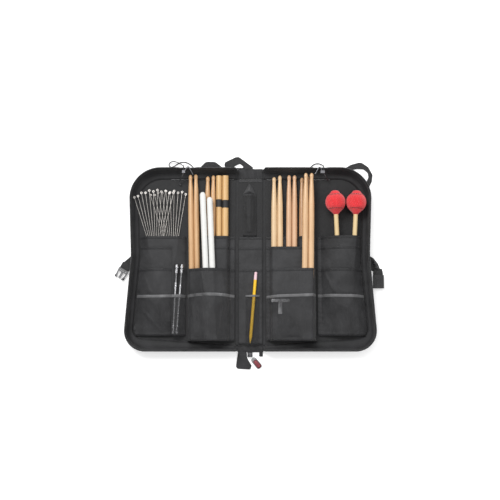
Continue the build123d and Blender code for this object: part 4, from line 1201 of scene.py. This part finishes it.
stitched("right_carry_strap_stitching", [
    [(233, 224.5, ZS), (248, 233.6, ZS), (268.5, 239.2, ZS), (274.8, 238.4, ZS), (288.8, 229, ZS), (298, 211, ZS), (296, 195, ZS), (288.5, 179.5, ZS)]],
    "right_carry_loop")

lw = [(-313.8, -9.8), (-292.8, -22.3), (-252, 8), (-266, 31)]
strap("left_compression_strap", lw, 1.2, 0.05, 1.35, 0.66, "left_leaf", "webbing", ["left_buckle_webbing"], wob=0.08, seed=8.0, edge=0.6)
rw = [(250, 32), (299.9, 4.7), (310.7, -9), (318, -28.2), (298, -28.2), (250, -2)]
strap("right_compression_strap", rw, 1.5, 0.05, 1.35, -0.5, "right_leaf", "webbing", ["right_buckle_webbing"], wob=0.08, seed=9.0, edge=0.6)

# zip end tab and the stop tab beside it
tab = [(-30, -224), (-35, -259), (-31, -264), (0, -266), (3, -256), (-5, -243.5), (-8, -237), (-9, -224)]
hump = lambda x, y: 0.0
o = strap("zip_end_flap", tab, 2.5, 0.05, 3.0, 1.4, "spine", "bag_nylon", ["zip_end_tabs"], wob=0.35, seed=12.0, edge=1.2, mat=BAG)
stop = [(21, -235), (30, -235), (30, -224), (21, -224)]
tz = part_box("zip_end_tabs")
o = strap("zip_stop_flap", stop, 1.5, 0.05, 2.6, 0.0, "spine", "bag_nylon", [], wob=0.2, seed=13.0, edge=1.0, mat=BAG)
stitched("zip_flap_stitching", [
    [(-28.5, -228, 3.1), (-31.8, -257.5, 3.1), (-29.5, -261, 3.1), (-2.5, -262.8, 3.1), (-0.5, -257, 3.1), (-7.8, -244.5, 3.1)],
    [(-27, -230, 3.15), (-10.5, -230, 3.15)], [(22.5, -232.8, 2.7), (28.5, -232.8, 2.7)]], "spine", 3.0, 1.9, 0.24)

# zip pull: plated frame with a soft insert
PO, PDV = Vector((5.3, -239.3)), Vector((23.0, -28.0)).normalized()
PNV = Vector((-PDV.y, PDV.x))


def along(o0, d, n, pts):
    return [tuple(o0 + d * p[0] + n * p[1]) for p in pts]


def plate_at(name, pts, r, z0, z1, mat, body, slot, cad, holes=(), edge=0.6, crown=0.0, spacing=2.0):
    L = rounded(pts, r, 0.8)
    loop = resample(L, max(40, int(np.linalg.norm(np.diff(L, axis=0), axis=1).sum() / 1.2)), True)
    hs = []
    for h in holes:
        Lh = rounded(h, r * 0.8, 0.8)
        hs.append(resample(Lh, max(24, int(np.linalg.norm(np.diff(Lh, axis=0), axis=1).sum() / 1.2)), True))
    o = soft_plate(name, loop, z0, z1, mat, holes=hs, spacing=spacing, edge=edge, crown=crown, rings=(0.2, 0.5, 1.0))
    give(o, body, slot, *cad)
    return o


PULL_METAL = metal_mat("pull_plate_metal", (0.40, 0.40, 0.41), 0.34)
PULL_RIM = plastic_mat("pull_rim_maroon", (0.085, 0.010, 0.013), 0.35)
PULL_SOFT = plastic_mat("pull_soft_red", (0.30, 0.055, 0.070), 0.3)
plate_at("zip_pull_plate", along(PO, PDV, PNV, [(-1.2, -4.2), (4, -7.0), (29.6, -7.4), (29.6, 7.4), (4, 7.0), (-1.2, 4.2)]), 5.2, 1.0, 3.6,
         PULL_METAL, "zip_pull", "pull_metal", ["zip_pull_frame"], holes=[along(PO, PDV, PNV, [(6.0, -4.6), (26, -4.6), (26, 4.6), (6.0, 4.6)])])
plate_at("zip_pull_grip", along(PO, PDV, PNV, [(5.0, -5.4), (29.2, -6.6), (29.2, 6.6), (5.0, 5.4)]), 4.8, 0.9, 4.1,
         PULL_RIM, "zip_pull", "pull_insert", ["zip_pull_insert"], edge=1.4)
plate_at("zip_pull_window", along(PO, PDV, PNV, [(8.4, -3.4), (26.2, -4.2), (26.2, 4.2), (8.4, 3.4)]), 3.2, 3.3, 4.3,
         PULL_SOFT, "zip_pull", "pull_insert", [], edge=1.0, crown=0.15)
sp_ = Soup()
for q in (-2.0, 0.0, 2.0):
    tube_into(sp_, [tuple(PO + PDV * 11 + PNV * q) + (4.35,), tuple(PO + PDV * 17 + PNV * q) + (4.5,), tuple(PO + PDV * 23.5 + PNV * q) + (4.35,)], [0.3, 0.45, 0.3], 6)
give(sp_.obj("zip_pull_ridges", PULL_RIM), "zip_pull", "pull_insert")
# slider: crown, bridge and the pull's wire link
sp_ = Soup()
tube_into(sp_, [(-1, -225.5, 6.9), (-1, -227.5, 8.2), (-1, -231, 8.6), (-1, -234, 8.0), (-1, -235.4, 6.6)], [1.0, 1.15, 1.2, 1.15, 1.0], 10)
for xx in (-5.6, 3.6):
    tube_into(sp_, [(xx, -225.2, 6.9), (xx, -230, 7.25), (xx, -235, 6.9)], [0.5, 0.7, 0.5], 8)
give(sp_.obj("zip_slider_bridge", metal_mat("slider_edge_metal", (0.30, 0.30, 0.31), 0.3)), "spine", "slider_metal")

# compression straps run into the two buckle halves
UV = Vector((-13.4, -24.1)).normalized()
UN = Vector((-UV.y, UV.x))
UO = Vector((-303.3, -16.05))


def bridge(name, pts, za, zb, ang, wv=0.25):
    L = rounded(pts, 1.0, 0.8)
    loop = resample(L, 90, True)
    o = soft_plate(name, loop, za, zb, webbing_mat(name + "_weave", ang, (0.0075, 0.0075, 0.008)), spacing=1.8, edge=0.6, wob=wv, rings=(0.2, 0.6))
    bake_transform(o)
    return o


bridge("left_plug_webbing", along(UO, UV, UN, [(-7, -11.9), (9.8, -11.6), (9.8, 11.6), (-7, 11.9)]), 1.4, 2.9, math.atan2(UV.y, UV.x))
bridge("right_socket_webbing", [(298.6, -24), (319.8, -21.5), (322.2, -31), (322.6, -40.5), (299.2, -40.5), (298.4, -31)], 1.4, 3.1, 1.57,
       0.5)
sp_ = Soup()
for q in (-10.6, 10.6):      # dark arm ends of the plug
    tube_into(sp_, [tuple(UO + UV * s_ + UN * q) + (3.9,) for s_ in (26.5, 28.5, 31.5, 33.6)], [1.7, 2.2, 2.25, 1.5], 10, flat=1.15, up=(0, 0, 1))
give(sp_.obj("left_plug_arm_tips", plastic_mat("plug_tip_black", (0.012, 0.012, 0.013), 0.35)), "left_plug", "buckle_black")
sp_ = Soup()
for q in (-9.5, 9.5):
    tube_into(sp_, [tuple(UO + UV * s_ + UN * q) + (7.5,) for s_ in (9.8, 13, 16.2)], [0.5, 0.8, 0.5], 8)
tube_into(sp_, [tuple(UO + UV * 13.2 + UN * q) + (7.6,) for q in (-6.5, 0, 6.5)], [0.5, 0.75, 0.5], 8)
give(sp_.obj("left_plug_ridges", plastic_mat("plug_ridge_grey", (0.24, 0.24, 0.245), 0.35)), "left_plug", "buckle_grey")
sp_ = Soup()
for k_ in range(5):
    yy = -46.5 - k_ * 3.6
    tube_into(sp_, [(302.5 + k_ * 0.5, yy, 10.9), (306, yy - 0.5, 11.35), (316, yy - 0.5, 11.35), (319.3 - k_ * 0.5, yy, 10.9)], [0.5, 0.75, 0.75, 0.5], 8)
for xx in (299.0, 322.6):
    tube_into(sp_, [(xx, -41, 9.6), (xx, -52, 10.9), (xx, -67, 10.6)], [0.7, 1.0, 0.7], 8)
give(sp_.obj("right_socket_ridges", plastic_mat("socket_ridge_black", (0.03, 0.03, 0.032), 0.3)), "right_socket", "buckle_black")
# spare webbing rolled up against the right strap, held by its elastic
sp_ = Soup()
roll = []
for k_ in range(46):
    a_ = k_ / 45.0 * math.pi * 4.4
    r_ = 1.6 + 0.36 * a_ / math.pi * 1.1
    roll.append((r_ * math.cos(a_), r_ * math.sin(a_)))
rv, rf = [], []
for j_, yy in enumerate(np.linspace(-4.0, -24.0, 21)):
    cx = 301.5 + (-4 - yy) * 0.36
    for (dx_, dz_) in roll:
        rv.append((cx + dx_ + 0.25 * math.sin(j_ * 1.1), yy, 5.4 + dz_ * 0.95))
nr_ = len(roll)
for j_ in range(20):
    for k_ in range(nr_ - 1):
        a_ = j_ * nr_ + k_
        rf.append([a_, a_ + 1, a_ + 1 + nr_, a_ + nr_])
o = mesh_obj("right_rolled_webbing", rv, rf, webbing_mat("rolled_weave", 1.9, (0.010, 0.010, 0.0108)))
give(o, "right_leaf", "webbing")
sp_ = Soup()
for yy in (-9.0, -19.0):
    cx = 301.5 + (-4 - yy) * 0.36
    tube_into(sp_, [(cx + 4.3 * math.cos(t_), yy + 0.3 * math.sin(t_ * 2), 5.35 + 4.0 * math.sin(t_)) for t_ in np.linspace(0, 2 * math.pi, 33)[:-1]], 0.7, 6, closed=True)
give(sp_.obj("right_roll_keeper", ELASTIC), "right_leaf", "webbing")

# turned collars and knurled caps of the two telescopic brush rods
for nm, p_, q_ in (("beater_a", (-186.1, -181), (-178.2, -14)), ("beater_b", (-177.2, -181), (-165.4, -14))):
    a_, b_ = Vector((p_[0], p_[1], 20.6)), Vector((q_[0], q_[1], 20.6))
    t_ = (b_ - a_).normalized()
    L_ = (b_ - a_).length
    box_lo, box_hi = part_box("beater_rod_" + nm[-1])
    r0 = 0.5 * (box_hi.z - box_lo.z) / MM
    c_ = Vector((0, 0, (box_hi.z + box_lo.z) / 2 / MM - 20.6))
    sp_ = Soup()
    for (f0, f1, rr) in ((0.985, 0.945, 1.25), (0.93, 0.92, 1.45), (0.90, 0.89, 1.2), (0.70, 0.67, 0.94), (0.665, 0.655, 0.98), (0.50, 0.495, 0.95),
                         (0.30, 0.27, 0.95), (0.12, 0.10, 0.95), (0.04, 0.01, 1.0)):
        pts = [a_ + c_ + t_ * (L_ * f) for f in np.linspace(f0, f1, 5)]
        tube_into(sp_, pts, [r0 * rr * 0.93, r0 * rr, r0 * rr, r0 * rr, r0 * rr * 0.93], 20)
    give(sp_.obj(nm + "_collars", metal_mat(nm + "_collar_metal", (0.66, 0.66, 0.68), 0.18, 0.00001, False)), nm, "chrome_plate")
    sp_ = Soup()
    for k_ in range(14):
        an = 2 * math.pi * k_ / 14
        u_ = t_.orthogonal().normalized()
        w_ = t_.cross(u_)
        off = (u_ * math.cos(an) + w_ * math.sin(an)) * r0 * 0.72
        tube_into(sp_, [a_ + c_ + t_ * (L_ * f) + off for f in (0.885, 0.87, 0.80, 0.71)], [0.2, 0.32, 0.32, 0.2], 5)
    give(sp_.obj(nm + "_knurled_grip", GRIPM), nm, "grip_black")

# welt along the head of each lining
for side, pre, body in SIDES:
    for k_, (xa, xb) in enumerate(((40, 78), (148, 196), (84, 132))):
        sp_ = Soup()
        xs_ = np.linspace(xa, xb, 40)
        tube_into(sp_, [(x * side, 198.3 + 0.5 * math.sin(x * 0.5) + 0.4 * nz(x, 3, 1.0, 0.2), 5.0 + 0.35 * math.sin(x * 0.8 + k_)) for x in xs_],
                  [0.3] + [0.8] * 38 + [0.3], 8)
        give(sp_.obj("%s_head_welt_%d" % (pre, k_), ELASTIC if k_ < 2 else BINDING), body, "lining_nylon")

# ------------------------------------------------------- wound mallet heads
HEAD = [(-31, 6.2), (-28, 7.4), (-24.5, 10.8), (-20.5, 15.2), (-16, 19.2), (-11, 22.2), (-5.5, 23.9), (0, 24.3), (5.5, 23.8), (10.5, 22), (15, 19),
        (18.5, 15.4), (20.8, 12.6), (23.5, 11), (26, 9.4), (27.6, 7.0), (28, 4.5)]


def wound_head(name, butt, head, cad, body, seed):
    A = Vector((butt[0], butt[1], 10 + (butt[1] + 183) * 0.05717))
    B = Vector((head[0], head[1], 10 + (head[1] + 183) * 0.05717))
    t = (B - A).normalized()
    a = t.orthogonal().normalized()
    b = t.cross(a)
    sp = np.array(HEAD, float)
    # smooth profile of the wool body
    s = np.concatenate([[0], np.cumsum(np.hypot(*np.diff(sp, axis=0).T))])
    ss = np.linspace(0, s[-1], 150)
    pr = np.stack([np.interp(ss, s, sp[:, 0]), np.interp(ss, s, sp[:, 1])], 1)
    k = np.array([1, 2, 3, 4, 3, 2, 1.0]); k /= k.sum()
    for _ in range(3):
        p2 = np.pad(pr, ((3, 3), (0, 0)), mode="edge")
        pr = np.stack([np.convolve(p2[:, c], k, "valid") for c in range(2)], 1)
    na = 168
    verts, faces = [], []
    for i, (u, r) in enumerate(pr):
        lat = (u + 31) / 59.0
        for j in range(na):
            an = 2 * math.pi * j / na
            # two sets of strands wound over the head at different slants, chosen patch by patch
            s1 = math.cos(an * 21 + lat * 9.0 + seed)
            s2 = math.cos(an * 17 - lat * 13.0 + seed * 2)
            lay = noise.noise(Vector((math.cos(an) * 1.3, math.sin(an) * 1.3, lat * 2.2 + seed)))
            mixv = s1 if lay > 0 else s2
            rr = r + 0.42 * (abs(mixv) - 0.45) + 0.25 * noise.noise(Vector((math.cos(an) * 9, math.sin(an) * 9, u * 0.5)))
            belt = math.exp(-((u - 17.6) / 1.3) ** 2) * 0.9 + math.exp(-((u + 16.5) / 1.1) ** 2) * 0.8
            rr -= belt
            rr = max(0.5, rr) - 0.35
            p = B + t * u + (a * math.cos(an) + b * math.sin(an)) * rr
            verts.append(p)
    n = len(pr)
    for i in range(n - 1):
        for j in range(na):
            q = [i * na + j, i * na + (j + 1) % na, (i + 1) * na + (j + 1) % na, (i + 1) * na + j]
            faces.append(q[::-1])
    faces.append([j for j in range(na)])
    faces.append([(n - 1) * na + j for j in range(na)][::-1])
    o = mesh_obj(name, verts, faces, YARN)
    give(o, body, "red_yarn", cad)
    # loose outer strands and the binding turns that tie the wool down
    so, sd = Soup(), Soup()
    rad = lambda u: float(np.interp(u, pr[:, 0], pr[:, 1]))
    for q in range(46):
        a0 = 2 * math.pi * q / 46 + 0.3 * noise.noise(Vector((q * 1.3, seed, 0)))
        sl = 0.55 + 0.5 * noise.noise(Vector((q * 0.7, seed, 4.0)))
        if q % 2:
            sl = -sl
        pts = []
        for c in range(17):
            u = -19 + 38.0 * c / 16
            an = a0 + sl * (c / 16 - 0.5) * 1.3
            r = rad(u) - 0.25
            pts.append(B + t * u + (a * math.cos(an) + b * math.sin(an)) * r)
        tube_into(so, pts, [0.25] + [0.42] * 15 + [0.25], 5)
    o2 = so.obj(name + "_strands", YARN)
    give(o2, body, "red_yarn")
    for u0, w, turns in ((17.8, 1.0, 3), (-16.5, 1.0, 3), (-28.5, 1.6, 4)):
        for k2 in range(turns):
            u = u0 + (k2 - (turns - 1) / 2) * w / turns * 1.3
            pts = []
            for c in range(60):
                an = 2 * math.pi * c / 60
                uu = u + 0.25 * math.sin(an * 2 + k2 * 2)
                pts.append(B + t * uu + (a * math.cos(an) + b * math.sin(an)) * (rad(uu) - 0.55))
            tube_into(sd, pts, 0.36, 5, closed=True)
    o3 = sd.obj(name + "_binding", YARN_D)
    give(o3, body, "red_yarn")
    return o


wound_head("mallet_left_wool", (220, -181), (206.8, 138.6), "mallet_left_head", "right_leaf", 1.0)
wound_head("mallet_right_wool", (239.8, -181), (257.5, 138.6), "mallet_right_head", "right_leaf", 4.0)

# --------------------------------------------------- finishes of the CAD nodes
HICK = wood_mat("hickory_wood", (0.72, 0.47, 0.25), (0.50, 0.28, 0.13))
HICK_P = wood_mat("hickory_pale", (0.80, 0.60, 0.37), (0.60, 0.40, 0.22))
MAPLE = wood_mat("maple_wood", (0.74, 0.48, 0.30), (0.56, 0.33, 0.19), flecks=0.7)
OAK = wood_mat("oak_wood", (0.60, 0.36, 0.19), (0.38, 0.21, 0.10))
PEACH = wood_mat("peach_hickory", (0.78, 0.53, 0.31), (0.58, 0.36, 0.19))
BIRCH = wood_mat("birch_dowels", (0.76, 0.50, 0.23), (0.55, 0.33, 0.13))
HANDLE = wood_mat("mallet_birch", (0.80, 0.64, 0.36), (0.66, 0.48, 0.24), gloss=0.3)
WHITE_M = plastic_mat("white_lacquer", (0.74, 0.74, 0.72), 0.25, 0.00004, 0.03)
BAND = plastic_mat("band_rubber", (0.016, 0.016, 0.017), 0.6, 0.00012)
WIRE = metal_mat("drawn_wire", (0.62, 0.59, 0.56), 0.36)
GRIP = plastic_mat("grip_rubber", (0.022, 0.022, 0.024), 0.5, 0.0002)
CHROME = metal_mat("chrome_plate", (0.80, 0.80, 0.82), 0.14, 0.00001, False)
DARKCHR = metal_mat("black_chrome", (0.72, 0.72, 0.74), 0.24, 0.00002, False)
HOOK = metal_mat("hook_wire_dark", (0.16, 0.16, 0.17), 0.35)
SLIDER = metal_mat("black_painted_slider", (0.07, 0.07, 0.075), 0.4)
BGREY = plastic_mat("buckle_grey_acetal", (0.17, 0.17, 0.175), 0.42)
BBLACK = plastic_mat("buckle_black_acetal", (0.010, 0.010, 0.011), 0.38)
YELLOW = plastic_mat("pencil_yellow_paint", (0.84, 0.50, 0.015), 0.3, 0.00003, 0.08)
PINK = plastic_mat("eraser_soft_pink", (0.80, 0.55, 0.60), 0.75, 0.0001, 0.08)

PAINT = {
    "stick_pair_a": HICK, "stick_pair_b": HICK, "stick_pair_c": HICK_P, "stick_pair_d": MAPLE, "stick_pair_e": OAK,
    "stick_pair_f": PEACH, "white_stick_pair": WHITE_M, "bundle_rods": BIRCH, "bundle_rod_bands": BAND,
    "brush_a_wires": WIRE, "brush_b_wires": WIRE, "brush_handles": GRIP, "beater_rod_a": DARKCHR, "beater_rod_b": DARKCHR,
    "left_hang_hook": HOOK, "right_hang_hook": HOOK, "zip_slider": SLIDER,
    "left_buckle_plug": BGREY, "right_buckle_socket": BBLACK, "mallet_left_handle": HANDLE, "mallet_right_handle": HANDLE,
    "drum_key": CHROME, "pencil_shaft": YELLOW, "pencil_eraser": PINK}
for n, m in PAINT.items():
    for s in nodes[n].material_slots:
        s.link = "OBJECT"
        s.material = m
    if not nodes[n].material_slots:
        nodes[n].data.materials.append(m)

# -------------------------------------------------------------- floor, light
me = bpy.data.meshes.new("floor")
bm = bmesh.new()
bmesh.ops.create_grid(bm, x_segments=4, y_segments=4, size=6.0)
bm.to_mesh(me)
bm.free()
floor = bpy.data.objects.new("floor", me)
scene.collection.objects.link(floor)
floor.location.z = -0.0006
fm, fp, fco = start("pale_floor", 0.9)
link(fm, ramp(fm, noise_n(fm, fco, 3.0, 2.0), [(0.3, (0.95, 0.95, 0.95)), (0.7, (0.965, 0.965, 0.965))]), fp.inputs["Base Color"])
fp.inputs["Specular IOR Level"].default_value = 0.1
fp.inputs["Emission Color"].default_value = (1.0, 1.0, 1.0, 1)
fp.inputs["Emission Strength"].default_value = 0.34
me.materials.append(fm)

world = bpy.data.worlds.new("studio")
scene.world = world
world.use_nodes = True
bg = world.node_tree.nodes["Background"]
bg.inputs["Color"].default_value = (1.0, 1.0, 1.0, 1)
bg.inputs["Strength"].default_value = 0.62


def area(name, loc, size, power, aim=(0, 0, 0)):
    L = bpy.data.lights.new(name, "AREA")
    L.shape = "RECTANGLE"
    L.size, L.size_y = size
    L.energy = power
    o = bpy.data.objects.new(name, L)
    scene.collection.objects.link(o)
    o.location = loc
    o.rotation_euler = (Vector(aim) - Vector(loc)).to_track_quat("-Z", "Y").to_euler()
    return o


area("key_softbox", (-1.0, 1.3, 2.2), (1.3, 0.9), 46)
area("fill_softbox", (1.7, -0.5, 1.9), (1.1, 1.1), 9)
area("top_softbox", (0.1, 1.2, 2.9), (1.6, 1.2), 12)
scene.view_settings.view_transform = "Standard"
